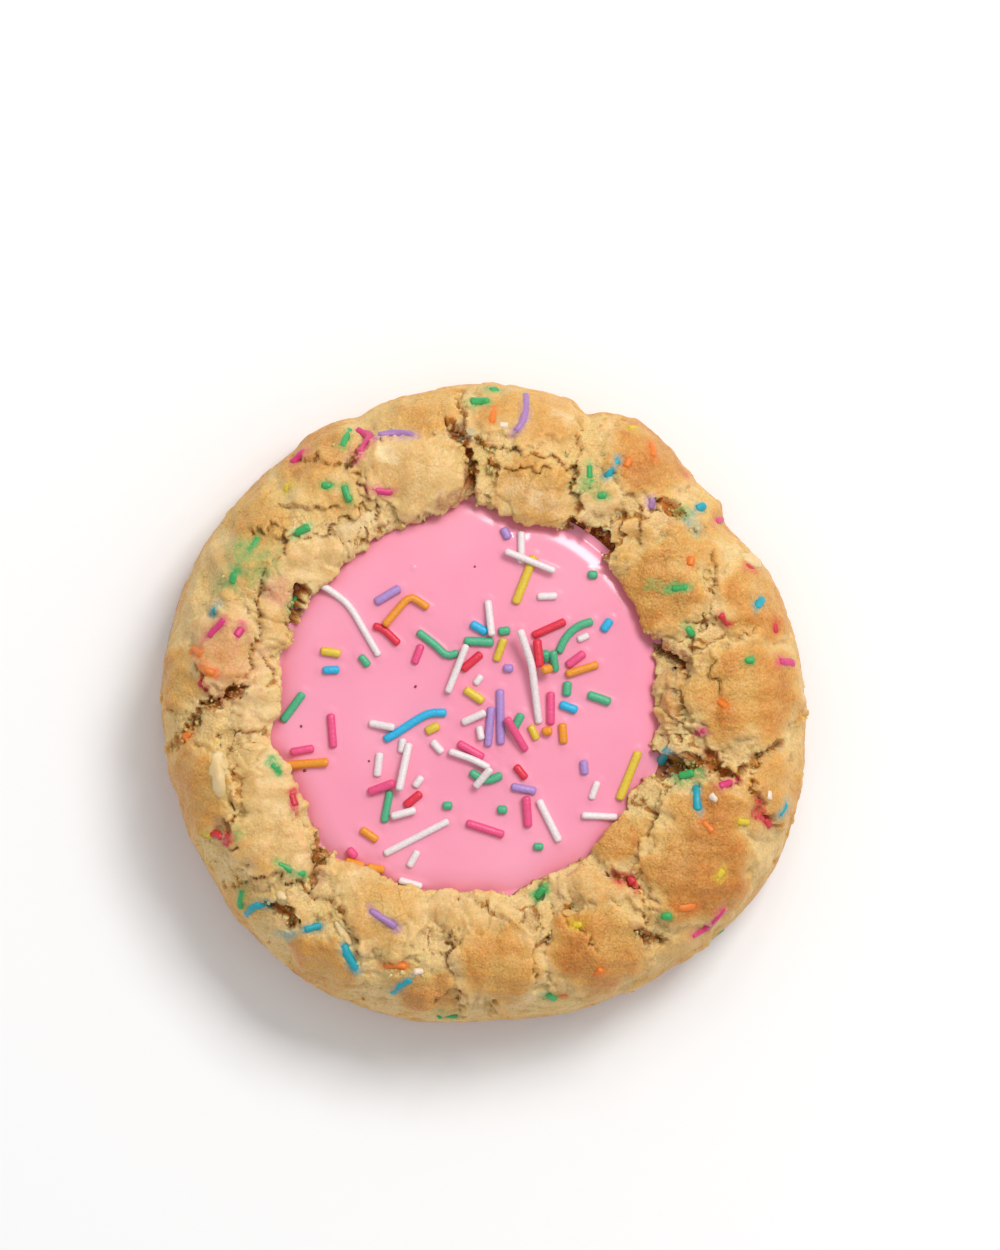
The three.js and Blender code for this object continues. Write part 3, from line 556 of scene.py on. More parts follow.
# How torn dough breaks: width of the pieces, how far they stand off each other, and depth of the cracks
# round them. Sunk crust is given likewise, with the tilt of a shard before the depth.
BREAKS = [[2.4, 0.55, 0.15], [1.15, 0.3, 0.06]]
BREAK_SLOPE = 0.2
SHARDS = [3.8, 0.8, 0.14, 0.25]
SHARD_SLOPE = 0.3
SHARD_TURNS = 40


def broken(points):
    """Relief of torn dough. It broke in blocks that stand at different heights with a crack round each,
    and the blocks broke in chips in the same way. Noise bends their borders."""
    bent = wandering(points, 0.35, 1.3, 1.7, 4.7, 8.7)
    total = np.zeros(points.shape[:-1])
    for grain, step, crack in BREAKS:
        _, _, border, lot = clumps(bent, grain, 4.5)
        total += step * (lot - 0.5) - crack * (1 - smoothstep(0, BREAK_SLOPE * grain, border))
    return total


def shards(points):
    """Relief of crust that sank and broke in flat shards as it cooled, and the distance to their edges:
    each lies a step higher or lower and tilted a little, with a crack round it."""
    grain, step, tilt, crack = SHARDS
    way, _, border, lot = clumps(wandering(points, 0.6, 2.4, 3.7, 6.7, 12.7), grain, 1.9)
    turn = SHARD_TURNS * lot
    sloped = tilt * (way[..., 0] * np.cos(turn) + way[..., 1] * np.sin(turn))
    return step * (lot - 0.5) + sloped - crack * (1 - smoothstep(0, SHARD_SLOPE, border)), border


def closed_rings(first, rings, last):
    """Vertices and faces of rings of points, each with the same number of them, closed at both ends by a
    single point. The faces look outward where the rings run the way that a right-handed screw goes."""
    ring_count, count = rings.shape[:2]
    vertices = np.concatenate([[first], rings.reshape(-1, 3), [last]])
    i = np.arange(count)
    j = (i + 1) % count
    start = 1 + count * np.arange(ring_count)[:, None]
    band = np.stack([start[:-1] + i, start[:-1] + j, start[1:] + j, start[1:] + i], axis=-1)
    fan = np.stack([0 * i, start[0] + j, start[0] + i], axis=-1)
    end = np.stack([start[-1] + i, start[-1] + j, 0 * i + len(vertices) - 1], axis=-1)
    return vertices, fan.tolist() + band.reshape(-1, 4).tolist() + end.tolist()


def ring_normals(rings):
    """Unit normals of rings of points: the way round each ring crossed with the way from ring to ring."""
    normal = np.cross(np.roll(rings, -1, 1) - np.roll(rings, 1, 1), np.gradient(rings, axis=0))
    return normal / np.maximum(np.linalg.norm(normal, axis=-1, keepdims=True), 1e-9)


def add_piece(name, vertices, faces):
    """A smooth-shaded mesh object from vertices in millimetres."""
    mesh = bpy.data.meshes.new(name)
    mesh.from_pydata((np.asarray(vertices) * MM).tolist(), [], faces)
    mesh.shade_smooth()
    piece = bpy.data.objects.new(name, mesh)
    bpy.context.scene.collection.objects.link(piece)
    return piece


def add_values(piece, name, values):
    """Keeps one number or one colour for each vertex of a piece, for its material to read."""
    kind, field = ("FLOAT", "value") if np.ndim(values) == 1 else ("FLOAT_COLOR", "color")
    attribute = piece.data.attributes.new(name, kind, "POINT")
    attribute.data.foreach_set(field, np.ravel(values).astype(np.float32))


def linear(code, alpha=1.0):
    """Linear red, green, blue and alpha of an sRGB hex code: c / 12.92 up to 0.04045, and above it
    ((c + 0.055) / 1.055)^2.4."""
    shares = [int(code[i:i + 2], 16) / 255 for i in (0, 2, 4)]
    return [c / 12.92 if c <= 0.04045 else ((c + 0.055) / 1.055) ** 2.4 for c in shares] + [alpha]


# A strand tints the dough beside it with this strength and radius, and presses it flat from touching it
# to clear of it. A colour fades between these shares of its radius, runs this far down a steep side,
# and hides the dough at most this much. Noise makes its edge wander.
TINT = (0.5, 0.8)
PRESSED_FLAT = (0.5, 1.3)
RUN_FADE = (0.35, 1.5)
RUN_DROP = 5
RUN_HIDES = 0.85
RUN_WANDER = [[0.6, 1.6, 5.3], [0.3, 0.7, 9.1]]

# Painted maroon shade low on the lip beside the icing: this strong, up to this height and this far out from
# the well
PAINTED_LIP_SHADE = 0.75
PAINTED_LIP_SHADE_UP = 1.1
PAINTED_LIP_SHADE_OUT = 4


def strand_marks_and_shade(points):
    """How near each point is to a strand in the crust, 0 to 1, and the colour that has run there or is
    painted as shade, with its strength as alpha. Each strand tints the dough beside it, and each run tints
    more; the runs named icing are painted maroon shade in the holes beside the icing. A tint ends RUN_DROP
    below the highest point that it reaches, and painted maroon shade lies low on the lip beside the icing."""
    x, y, z = np.moveaxis(points, -1, 0)
    wander = layered(points, RUN_WANDER)
    colour = np.zeros(x.shape + (4,))
    marks = [
        [name, *TINT, np.reshape(flat, (-1, 2))]
        for name, strands in CRUST_STRANDS.items() if name != "white" for flat in strands
    ]
    for name, strength, radius, run in marks + RUNS_AND_PAINTED_SHADE:
        distance = distance_to_run(x, y, run)
        fade = [share * radius for share in RUN_FADE]
        share = strength * (1 - smoothstep(*fade, distance + wander * radius))
        highest = z[distance < 2 * radius].max(initial=0)
        share = share * smoothstep(highest - RUN_DROP, highest - 0.4 * RUN_DROP, z)
        colour[..., :3] += share[..., None] * linear(BAKED_COLOURS[name])[:3]
        colour[..., 3] += share
    colour[..., :3] /= np.maximum(colour[..., 3:], 1e-6)
    colour[..., 3] = np.minimum(colour[..., 3], RUN_HIDES)
    # Painted maroon shade, low on the lip beside the icing
    beyond = np.linalg.norm(points[..., :2] - WELL_CENTRE, axis=-1) - WELL_DIAMETER / 2
    low = 1 - smoothstep(LIP, LIP + PAINTED_LIP_SHADE_UP, z + 0.4 * wander)
    lip_shade = PAINTED_LIP_SHADE * low * (beyond < PAINTED_LIP_SHADE_OUT)
    lip_shade_colour = np.array([*linear(BAKED_COLOURS["icing"])[:3], 1])
    colour = colour + (lip_shade_colour - colour) * lip_shade[..., None] * [1, 1, 1, 0.75]
    return near_strands(x, y, CRUST_STRANDS, *PRESSED_FLAT), colour


# Cracks low in the side: their depth and width, how much wider than high they run, the noises whose zero
# they follow, the noise that opens them, and the heights over which they begin and end
LOW_CRACK = 0.9
LOW_WIDTH = 0.06
LOW_STRETCH = 1.9
LOW_LINES = [[1, 9, 2.2], [0.25, 2.2, 4.4]]
LOW_OPENING = (-0.2, 0.3)
LOW_BEGIN = (0.5, 2.5)
LOW_END = (9, 16)


def lower_cracks(points):
    """Depth of the cracks that opened round the cookie's side as it spread: the line where noise that is
    wide and low crosses zero, where another noise lets it open."""
    height = points[..., 2]
    line = np.abs(layered(points * [1, 1, LOW_STRETCH], LOW_LINES))
    opened = smoothstep(*LOW_OPENING, unevenness(points, 11, 8.8))
    depth = LOW_CRACK * (1 - smoothstep(0, LOW_WIDTH, line)) * opened
    return (1 - smoothstep(*LOW_END, height)) * smoothstep(*LOW_BEGIN, height) * depth


# The crust's relief grows over these heights in the side, and over this much height above the lip; the
# fine relief likewise
RELIEF_HEIGHTS = (3, 19)
LIP_FADE = 1.3
FINE_HEIGHTS = (0.3, 2)
FINE_LIP_FADE = 0.6

# Crust sank and broke in shards where noise is this high, and this near the well as a share of the ring
SUNK_NOISE = (11, 3.3)
SUNK_PATCHES = (-0.3, 0.2)
SUNK_ACROSS = (0.85, 0.4)
SHARD_LINES = 1.1

# Fine relief of the skin, and what was bitten out of the well's wall: height, width of the lumps, and
# place in the noise. Chips of one width stand up to CHIPS out of the wall.
FINE = [[0.16, 4.5, 1.5], [0.07, 1.8, 2.5], [0.03, 0.8, 3.5]]
WELL_BITE = [[0.6, 4.2, 9.5], [0.5, 1.6, 2.8]]
CHIPS = 0.7
CHIP = 1.2
BITE_MEAN = 0.4
BITE_FADE = (LIP + 0.2, LIP + 2)

# How torn the side is in places, its lower cracks, and the wall of the well
TORN_SIDE = 0.5
TORN_NOISE = (6, 6.6)
TORN_PATCHES = (0.1, 0.5)
TORN_CRACK = 0.5
TORN_DEPTHS = (0.1, 0.6)
TORN_WALL = 0.55

# The floor of a deep gap is less broken, and dough beside a strand is calmer, by these shares
CALM_GAP = 0.85
CALM_DEPTHS = (0.6, 1.8)
CALM_STRAND = 0.7

# How brown the side is and how much more at its brownest bearing, the same for what is added toward the
# rim, and how much noise adds. The rim's share that grows toward its brownest bearing is painted shade,
# darkening the upper side of the ring where the lights fall strongest.
SIDE_BROWN = (0.95, 0.15, 4.5)
RIM_BROWN_AND_SHADE = (0.1, 0.08, 1.7)
RIM_ACROSS = (0.1, 0.5)
BROWN_NOISE = [[0.1, 7, 6.5]]


def dough_shape():
    """Rings of points from the underside's middle round the outside, over the crust and down the well,
    with each point's brownness, tornness, colour, depth in a gap and distance to a crack. The crust's
    rings are moved away from the ring's spine by plates, shards, gaps and swell, then along their
    normals by fine unevenness, and by broken blocks where the dough is torn."""
    bearing = full_turn(BEARINGS)[None, :]
    across, height = (row[:, None] for row in ring_section())
    inner = WELL_CENTRE + at_bearing(bearing, well_radius(bearing))
    outer = at_bearing(bearing, edge_radius(DIAMETER, EDGE_OFFSETS, EDGE_BULGES, bearing))
    plan = inner + (outer - inner) * across[..., None]
    crust = with_height(plan, height)
    away = crust - with_height(inner + (outer - inner) * SPINE_ACROSS, SPINE_HEIGHT)
    away /= np.linalg.norm(away, axis=-1, keepdims=True)
    outside = across > CREST_LINE
    side = np.where(outside, smoothstep(*RELIEF_HEIGHTS, height), smoothstep(LIP, LIP + LIP_FADE, height))
    plate, gap, bake, torn, crack = plates_and_gaps(crust)
    lower = lower_cracks(crust)
    risen = plate + swell(crust)
    risen = CEILING - CEILING_EASE * np.log(1 + np.exp((CEILING - risen) / CEILING_EASE))
    sunk = smoothstep(*SUNK_PATCHES, unevenness(crust, *SUNK_NOISE))
    sunk = sunk * (1 - bake) * smoothstep(*SUNK_ACROSS, across)
    shard, shard_edge = shards(crust)
    crack = np.minimum(crack, shard_edge + 1 - SHARD_LINES * sunk)
    at_lip = LIP_OPENING * (across < CREST_LINE)
    relief = (risen + sunk * shard) * side - gap * np.maximum(side, at_lip) - lower
    shaped = crust + away * relief[..., None]

    outward = at_bearing(bearing, 1.0)
    lip = with_height(inner, LIP)
    bite = layered(lip, WELL_BITE) + CHIPS * clumps(lip, CHIP, 4.8)[3] - BITE_MEAN
    inside = np.where(across < CREST_LINE, 1 - smoothstep(*BITE_FADE, height), 0)
    shaped[..., :2] -= outward * (bite * inside)[..., None]

    # colour holds the strands' tints and the painted maroon shade beside the icing
    near, colour = strand_marks_and_shade(shaped)
    free = smoothstep(*FINE_HEIGHTS, height)
    free = free * np.where(outside, 1, smoothstep(LIP, LIP + FINE_LIP_FADE, height))
    patches = smoothstep(*TORN_PATCHES, unevenness(shaped, *TORN_NOISE))
    torn = np.maximum(torn * side, TORN_SIDE * patches * (1 - side))
    torn = np.maximum(torn, TORN_CRACK * smoothstep(*TORN_DEPTHS, lower))
    torn = np.maximum(torn, TORN_WALL * inside)
    broke = torn * broken(shaped) * (1 - CALM_GAP * smoothstep(*CALM_DEPTHS, gap))
    fine_relief = (layered(shaped, FINE) + broke) * free * (1 - CALM_STRAND * near)
    shaped = shaped + ring_normals(shaped) * fine_relief[..., None]
    side_brown, rim_brown_and_shade = (
        least + more * np.cos(bearing - brownest) for least, more, brownest in (SIDE_BROWN, RIM_BROWN_AND_SHADE)
    )
    bake = bake * side + (1 - side) * side_brown + layered(shaped, BROWN_NOISE)
    # Painted shade: the part of the rim term that varies with bearing darkens the upper side of the ring
    bake = bake + rim_brown_and_shade * smoothstep(*RIM_ACROSS, across)

    foot = plan[0]
    under = [with_height(foot * share, 0) for share in UNDERSIDE_ROWS]
    bitten = inner[0] - outward[0] * bite[0, :, None]
    wall = [with_height(bitten, level) for level in ((LIP + WELL_FLOOR) / 2, WELL_FLOOR)]
    rings = np.concatenate([under, shaped, wall])

    def spread(values, below, inside):
        """The values with rows added for the underside and the well."""
        rows = [(count,) + values.shape[1:] for count in (len(under), len(wall))]
        return np.concatenate([np.broadcast_to(below, rows[0]), values, np.broadcast_to(inside, rows[1])])

    values = {
        "bake": spread(bake, 0.8, 0.1),
        "torn": spread(torn, 0, 0.5),
        # depth drives painted warm shade in gaps, side cracks and between broken blocks; run holds strand
        # tints and painted maroon shade
        "depth": spread(gap * side + lower + 0.5 * np.maximum(-broke, 0), 0, 0),
        "run": spread(colour, 0, 0),
        "crack": spread(crack + FAR * (1 - side), FAR, FAR),
    }
    return rings, values


dough_rings, dough_values = dough_shape()
dough_vertices, dough_faces = closed_rings([0, 0, 0], dough_rings, [*WELL_CENTRE, WELL_FLOOR])
dough = add_piece("baked_dough", dough_vertices, dough_faces)
for value_name, rows in dough_values.items():
    flat_rows = rows.reshape(-1, 4) if rows.ndim == 3 else rows.reshape(-1)
    add_values(dough, value_name, np.concatenate([flat_rows[:1], flat_rows, flat_rows[-1:]]))


def set_inputs(tree, node, inputs):
    """Gives each named socket of a node its value, or the other node's output that it is linked to."""
    for socket, value in inputs.items():
        if isinstance(value, bpy.types.NodeSocket):
            tree.links.new(value, node.inputs[socket])
        else:
            node.inputs[socket].default_value = value


def add_node(tree, kind, inputs=None, **settings):
    """Adds a node of one kind to a material's tree, with its settings, values and links."""
    node = tree.nodes.new(kind)
    for name, value in settings.items():
        setattr(node, name, value)
    set_inputs(tree, node, inputs or {})
    return node


def new_material(name):
    """A material, its node tree, its Principled surface, and the place on the object for its patterns."""
    material = bpy.data.materials.new(name)
    material.use_nodes = True
    tree = material.node_tree
    place = add_node(tree, "ShaderNodeTexCoord").outputs["Object"]
    return material, tree, tree.nodes["Principled BSDF"], place


def per_mm(size):
    """The scale of a pattern whose features are that many millimetres wide."""
    return 1 / (size * MM)


def noise(tree, place, size, detail, roughness=0.5):
    """Cloudy noise whose features are that many millimetres wide."""
    return add_node(tree, "ShaderNodeTexNoise", {
        "Vector": place, "Scale": per_mm(size), "Detail": detail, "Roughness": roughness,
    }).outputs["Fac"]


def stretched(tree, value, low, high, least, most):
    """A value that is least at low and most at high, runs straight between them and is held beyond."""
    return add_node(tree, "ShaderNodeMapRange", {
        "Value": value, "From Min": low, "From Max": high, "To Min": least, "To Max": most,
    }).outputs["Result"]


def worked_out(tree, operation, *terms, **settings):
    """One step of arithmetic with numbers and other nodes' outputs."""
    node = add_node(tree, "ShaderNodeMath", dict(enumerate(terms)), operation=operation, **settings)
    return node.outputs[0]


# A Mix node's factor and two colours go in at these sockets, and its colour comes out at the last
FACTOR, FIRST, SECOND, MIXED = 0, 6, 7, 2


def mixed(tree, share, first, second):
    """A colour that goes from first to second as share goes from 0 to 1."""
    return add_node(tree, "ShaderNodeMix", {
        FACTOR: share, FIRST: first, SECOND: second,
    }, data_type="RGBA").outputs[MIXED]


def ramp(tree, value, stops):
    """A colour read off a ramp, given as places and hex codes."""
    node = add_node(tree, "ShaderNodeValToRGB", {"Fac": value})
    elements = node.color_ramp.elements
    for i, (place, code) in enumerate(stops):
        element = elements[i] if i < len(elements) else elements.new(place)
        element.position = place
        element.color = linear(code)
    return node.outputs["Color"]


def bump(tree, height, depth, strength=1.0):
    """The normal of a fine relief that many millimetres deep."""
    return add_node(tree, "ShaderNodeBump", {
        "Height": height, "Distance": depth * MM, "Strength": strength,
    }).outputs["Normal"]


# The dough's skin from the palest to the brownest
BAKED_SKIN = [(0, "E8C890"), (0.3, "E0B775"), (0.6, "DBA453"), (0.85, "D38F3E"), (1, "C67D2D")]


def baked_dough_material():
    """Baked vanilla dough: matte and faintly see-through, pale cream where it tore, straw where it only
    dried, golden to nut brown where it caught the heat. Fine grain and pores keep it from shining. Painted
    shade warms and darkens its gaps, cracks, and the lip beside the icing."""
    material, tree, surface, place = new_material("baked_vanilla_dough")
    bake, torn, depth, crack = (
        add_node(tree, "ShaderNodeAttribute", attribute_name=name).outputs["Fac"]
        for name in ("bake", "torn", "depth", "crack")
    )
    run = add_node(tree, "ShaderNodeAttribute", attribute_name="run")
    patches = noise(tree, place, 8, 1)
    mottle = noise(tree, place, 5, 3, 0.6)
    flecks = noise(tree, place, 1.5, 3, 0.75)
    grain = noise(tree, place, 0.7, 4, 0.7)
    sand = noise(tree, place, 0.3, 2, 0.8)
    pores = add_node(tree, "ShaderNodeTexVoronoi", {
        "Vector": place, "Scale": per_mm(0.6), "Randomness": 1.0,
    }).outputs["Distance"]

    # The skin is as brown as it was baked, in mottled patches, and paler where it tore
    patched = worked_out(tree, "ADD", bake, stretched(tree, mottle, 0.3, 0.7, -0.18, 0.18))
    browned = worked_out(tree, "ADD", patched, stretched(tree, grain, 0.3, 0.7, -0.16, 0.16))
    colour = ramp(tree, browned, BAKED_SKIN)
    crumb = mixed(tree, mottle, linear("EDCF93"), linear("DDB36B"))
    colour = mixed(tree, worked_out(tree, "MULTIPLY", torn, 0.6), colour, crumb)

    # Yellower patches, scorched flecks, painted warm shade in the gaps and cracks, and the strands' colour
    # that ran, with painted maroon shade beside the icing
    colour = mixed(tree, stretched(tree, patches, 0.46, 0.66, 0, 0.25), colour, linear("E6C777"))
    colour = mixed(tree, stretched(tree, flecks, 0.6, 0.72, 0, 0.4), colour, linear("BC8140"))
    # Painted shade: warm brown that grows with a gap's depth, for the shade and warm bounced light in its
    # hollow
    colour = mixed(tree, stretched(tree, depth, 0.1, 2, 0, 1), colour, linear("CF7A2A"))
    # The run colour holds the strands' tints and the painted maroon shade beside the icing
    blotted = stretched(tree, flecks, 0.35, 0.6, 0.4, 1.2)
    blot = worked_out(tree, "MULTIPLY", run.outputs["Alpha"], blotted, use_clamp=True)
    colour = mixed(tree, blot, colour, run.outputs["Color"])

    # Painted shade along the cracks, whose slits are too narrow for the mesh to shade, and fainter painted
    # shade on hairlines where the skin crazed
    frayed = worked_out(tree, "ADD", crack, stretched(tree, grain, 0.3, 0.7, -0.2, 0.2))
    opened = stretched(tree, frayed, 0.02, -0.1, 0, 1)
    shifted = add_node(tree, "ShaderNodeVectorMath", {
        0: flecks.node.outputs["Color"], 1: (1.3 * MM,) * 3, 2: place,
    }, operation="MULTIPLY_ADD").outputs["Vector"]
    crazing = add_node(tree, "ShaderNodeTexVoronoi", {
        "Vector": shifted, "Scale": per_mm(4.6), "Randomness": 1.0,
    }, feature="DISTANCE_TO_EDGE").outputs["Distance"]
    hairline = worked_out(tree, "LESS_THAN", crazing, stretched(tree, patches, 0.55, 0.75, 0, 0.02))
    lines = worked_out(tree, "MAXIMUM", opened, worked_out(tree, "MULTIPLY", hairline, 0.5))
    colour = mixed(tree, lines, colour, linear("BE7C2A"))

    # Sandy grain, strongest where the dough is torn or brown
    granular = worked_out(tree, "MAXIMUM", torn, bake)
    coarse = stretched(tree, granular, 0.1, 0.8, 0.35, 1)
    gritty = stretched(tree, sand, 0.3, 0.7, -0.24, 0.18)
    sanded = add_node(tree, "ShaderNodeVectorMath", {
        "Scale": worked_out(tree, "MULTIPLY_ADD", gritty, coarse, 1.0), 0: colour,
    }, operation="SCALE").outputs["Vector"]

    # Relief too fine for the mesh: grain, pores, sand, and the cracks drawn in
    relief = worked_out(tree, "ADD", grain, stretched(tree, pores, 0.05, 0.5, 0, 0.8))
    relief = worked_out(tree, "MULTIPLY_ADD", sand, 0.5, relief)
    relief = worked_out(tree, "MULTIPLY_ADD", lines, -1.5, relief)
    set_inputs(tree, surface, {
        "Base Color": sanded, "Normal": bump(tree, relief, 0.16, coarse),
        "Roughness": stretched(tree, torn, 0, 0.8, 0.46, 0.75), "IOR": 1.45, "Specular IOR Level": 0.5,
        "Subsurface Weight": 0.75, "Subsurface Radius": (1, 0.45, 0.18), "Subsurface Scale": 1.7 * MM,
    })
    return material


dough.data.materials.append(baked_dough_material())
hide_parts("cookie")
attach(dough, "root")


# The icing: fondant sugar, fat and pink colour, poured warm into the well. It levelled itself, drew up
# a little at the strands and rolled over at its edge, so it is smooth and glossy with a soft rim.
ICING_DOME = 0.3
ICING_EDGE = 3.8
CLEARANCE = 0.45
ROLL_DEPTH = 1
TUCKED = 1.2
RIM_CALM = 2
CREEP = 0.16
CREEP_REACH = (0.3, 1.3)
ICING_WAVE = [[0.05, 9, 1.1]]
ICING_BEARINGS = 480
ICING_ROWS = 112
ROWS_CROWD = 1.25
STRAND = 1.25
STRAND_PROUD = 0.75

# Bubbles that set in the icing: x, y, radius and height
BUBBLES = [
    [-10.1, 19.8, 0.5, 0.2], [-20, 20.1, 0.9, 0.25], [-11.4, 25.9, 0.6, 0.2], [-12.9, 25.3, 0.5, 0.18],
    [-1.8, -13.5, 2.4, -0.1], [9, -18, 3, -0.05], [-18, 2, 3.5, 0.05],
]

# Sugar strands on the icing, by colour, each as the x, y of its ends and bends
ICING_STRANDS = {
    "lilac": [
        [-15.7, 14.7, -12, 16.9], [3, 25.7, 3.9, 24], [3.5, 5.1, 4.1, 5.1], [2.6, 2.1, 2.7, -6.1],
        [1.3, -0.5, 0.8, -6.4], [4.2, -12.2, 7.9, -12.9], [14.8, -8.3, 15, -10.5],
    ],
    "green": [
        [-17.9, 7, -16.6, 5.4], [-9.5, 10.5, -6.9, 8.5, -5.2, 7, -3.5, 7.4], [-2.7, 9.1, 1.7, 8.9],
        [2.3, 10.4, 4.1, 10.7], [16.2, 12, 14.1, 11.3, 12.3, 9.7, 11.1, 7.3], [10.3, 7.7, 10.7, 4.6],
        [9.2, 7.2, 9.2, 6.6], [12.5, 3.2, 12.3, 1], [15.4, 1.3, 18.8, 0.1], [-26.2, 1.5, -29.3, -2.7],
        [5.8, -1.5, 4.4, -4.1], [-1.8, -10, 0.5, -11.3, 2.9, -10.5], [-13.5, -12.8, -14.4, -17.5],
        [15.9, 18.8, 16.4, 18.8], [-5.4, -15, -4.8, -15], [2.6, -15.6, 3.2, -15.6], [7.9, -21, 8.5, -21],
    ],
    "yellow": [
        [-23.7, 7.7, -20.7, 7.2], [7.6, 21.6, 4.8, 14.5], [3.2, 9.5, 2, 6.1], [-2.6, 2.1, 0.2, 0.2],
        [-8.3, -4.2, -6.3, -3.2], [7, -3.2, 8, -5.4], [22.9, -7, 20, -14.2],
    ],
    "pink": [
        [-8.9, 8.6, -10, 5.7], [15, 7.4, 12.3, 5.4], [10, 1.7, 10, -3.2], [-22.2, -1.5, -21.8, -6.6],
        [-28.1, -7.2, -24.6, -6.6], [-16.7, -13.1, -12.8, -11.6], [-3.6, -5.8, 0.2, -8],
        [3.5, -2.1, 6.4, -7], [6.4, -13.6, 6.7, -18.2], [-2.4, -17.5, 3.2, -19.3],
        [-19.7, -21.3, -18.5, -22.6],
    ],
    "red": [
        [-16, 11.3, -14.5, 10.8, -12.2, 8.6], [12.2, 12, 7.3, 9.8], [8, 9.4, 8.4, 5.2],
        [-0.1, 7.3, -3, 4.8], [-8.9, -13.1, -11.4, -15.1], [4.8, -9.1, 6.4, -11.1],
    ],
    "orange": [
        [-14.4, 11.3, -11.1, 15.1, -10, 15.3, -7.9, 13.9], [8.8, 4.8, 10, 5.1], [17, 5.7, 12.2, 4.2],
        [-29.4, -9.2, -22.5, -8.6], [-17.8, -18.4, -15.3, -20.1], [-20.1, -23.2, -17.2, -24],
        [-16.9, -24, -14.4, -24.4], [9.2, -4.1, 9.8, -4.1], [11.7, -2.9, 11.9, -6],
    ],
    "blue": [
        [-23.4, 4.8, -20.9, 4.9], [-1.7, 11.7, 0.7, 10.3], [18.8, 12.3, 17.6, 10.5],
        [11.3, -0.1, 13.9, -1.1], [-14.4, -5.4, -12.3, -4.2, -10, -2.7, -7.7, -1.5, -5.2, -1.4],
    ],
    "white": [
        [-24, 17.5, -22.1, 16.4, -19.5, 14.2, -17.2, 10.5, -15.1, 6.9], [5.7, 25.2, 5.7, 20.4],
        [3.3, 22.3, 10.7, 19.3], [8, 15.6, 11, 15.7], [0.8, 15.1, 1.4, 9.8], [-2.3, 8.6, -5.1, 1.5],
        [5.5, 10.8, 7, 6.3, 7.4, 4.2, 8.3, -3], [13.9, 9.2, 15.6, 10], [-1.1, 2.7, -0.1, 4.1],
        [0.5, -1.3, -3, -2.9], [-0.5, -3.3, -0.1, -5.4], [-16.6, -2.9, -12.8, -3.6],
        [-11.6, -5.1, -11.9, -7.3], [-10.7, -5.8, -12.2, -12.8], [-15, -7.2, -15.4, -10.8],
        [-8.8, -10.7, -10, -12.3], [-7.4, -5.5, -5.8, -7.3], [-4.9, -7, -1.5, -8.2, 1.1, -9.5],
        [1.3, -9.5, -1.1, -12.3], [-13.4, -16.6, -9.7, -15.6], [-4.9, -17.2, -14.4, -22.1],
        [-9.4, -21.6, -10.8, -24], [-12.3, -25.9, -8.8, -26.9], [8.2, -14.1, 11.3, -20.3],
        [16.9, -11.4, 15.9, -14.1], [14.5, -16.4, 19.8, -16.7],
    ],
}


def icing_height(plan):
    """A low dome that rolls over at its edge: level + dome (1 - (r/edge)^2), less the roll, which deepens
    with the square of the way out to the well's edge. Bubbles stand up as bell curves."""
    offset = plan - WELL_CENTRE
    radius = np.linalg.norm(offset, axis=-1)
    edge = well_radius(np.arctan2(offset[..., 1], offset[..., 0]))
    roll = np.clip(1 - (edge - radius) / ICING_EDGE, 0, 1)
    height = ICING_LEVEL + ICING_DOME * (1 - (radius / edge) ** 2) - ROLL_DEPTH * roll**2
    for x, y, width, rise in BUBBLES:
        height += rise * np.exp(-np.sum((plan - [x, y]) ** 2, axis=-1) / (0.5 * width**2))
    return height


def icing_shape():
    """Rings of points from the middle of the icing's underside, up its side and in to the middle of its
    top, where rows crowd at the rim. It is tucked a little under the ragged lip, and creeps up each
    strand."""
    bearing = full_turn(ICING_BEARINGS)[None, :]
    inward = np.linspace(0, 1, ICING_ROWS, endpoint=False)[:, None]
    radius = well_radius(bearing) + TUCKED
    share = 1 - inward**ROWS_CROWD
    plan = WELL_CENTRE + at_bearing(bearing, radius * share)
    height = icing_height(plan)
    creep = CREEP * near_strands(*np.moveaxis(plan, -1, 0), ICING_STRANDS, *CREEP_REACH)
    wave = layered(with_height(plan, 0), ICING_WAVE)
    height += (creep + wave) * smoothstep(0, RIM_CALM, radius * (1 - share))
    skirt = WELL_CENTRE + at_bearing(bearing[0], radius[0])
    levels = [WELL_FLOOR + CLEARANCE, ICING_LEVEL - 3 * ROLL_DEPTH]
    return np.concatenate([[with_height(skirt, level) for level in levels], with_height(plan, height)])


icing_rings = icing_shape()
icing_vertices, icing_faces = closed_rings(
    [*WELL_CENTRE, WELL_FLOOR + CLEARANCE], icing_rings, [*WELL_CENTRE, icing_rings[-1, :, 2].mean()],
)
icing = add_piece("pink_icing", icing_vertices, icing_faces)


def pink_icing_material():
    """Poured fondant icing: smooth, glossy and slightly see-through, so that light softens in it."""
    material, tree, surface, place = new_material("poured_pink_icing")
    set_inputs(tree, surface, {
        "Base Color": ramp(tree, noise(tree, place, 16, 2), [(0.3, "F597B1"), (0.7, "F9A3BA")]),
        "Roughness": 0.17, "IOR": 1.47,
        "Subsurface Weight": 0.15, "Subsurface Radius": (1, 0.45, 0.5), "Subsurface Scale": 1.5 * MM,
    })
    return material


icing.data.materials.append(pink_icing_material())
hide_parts("icing")
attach(icing, "root")


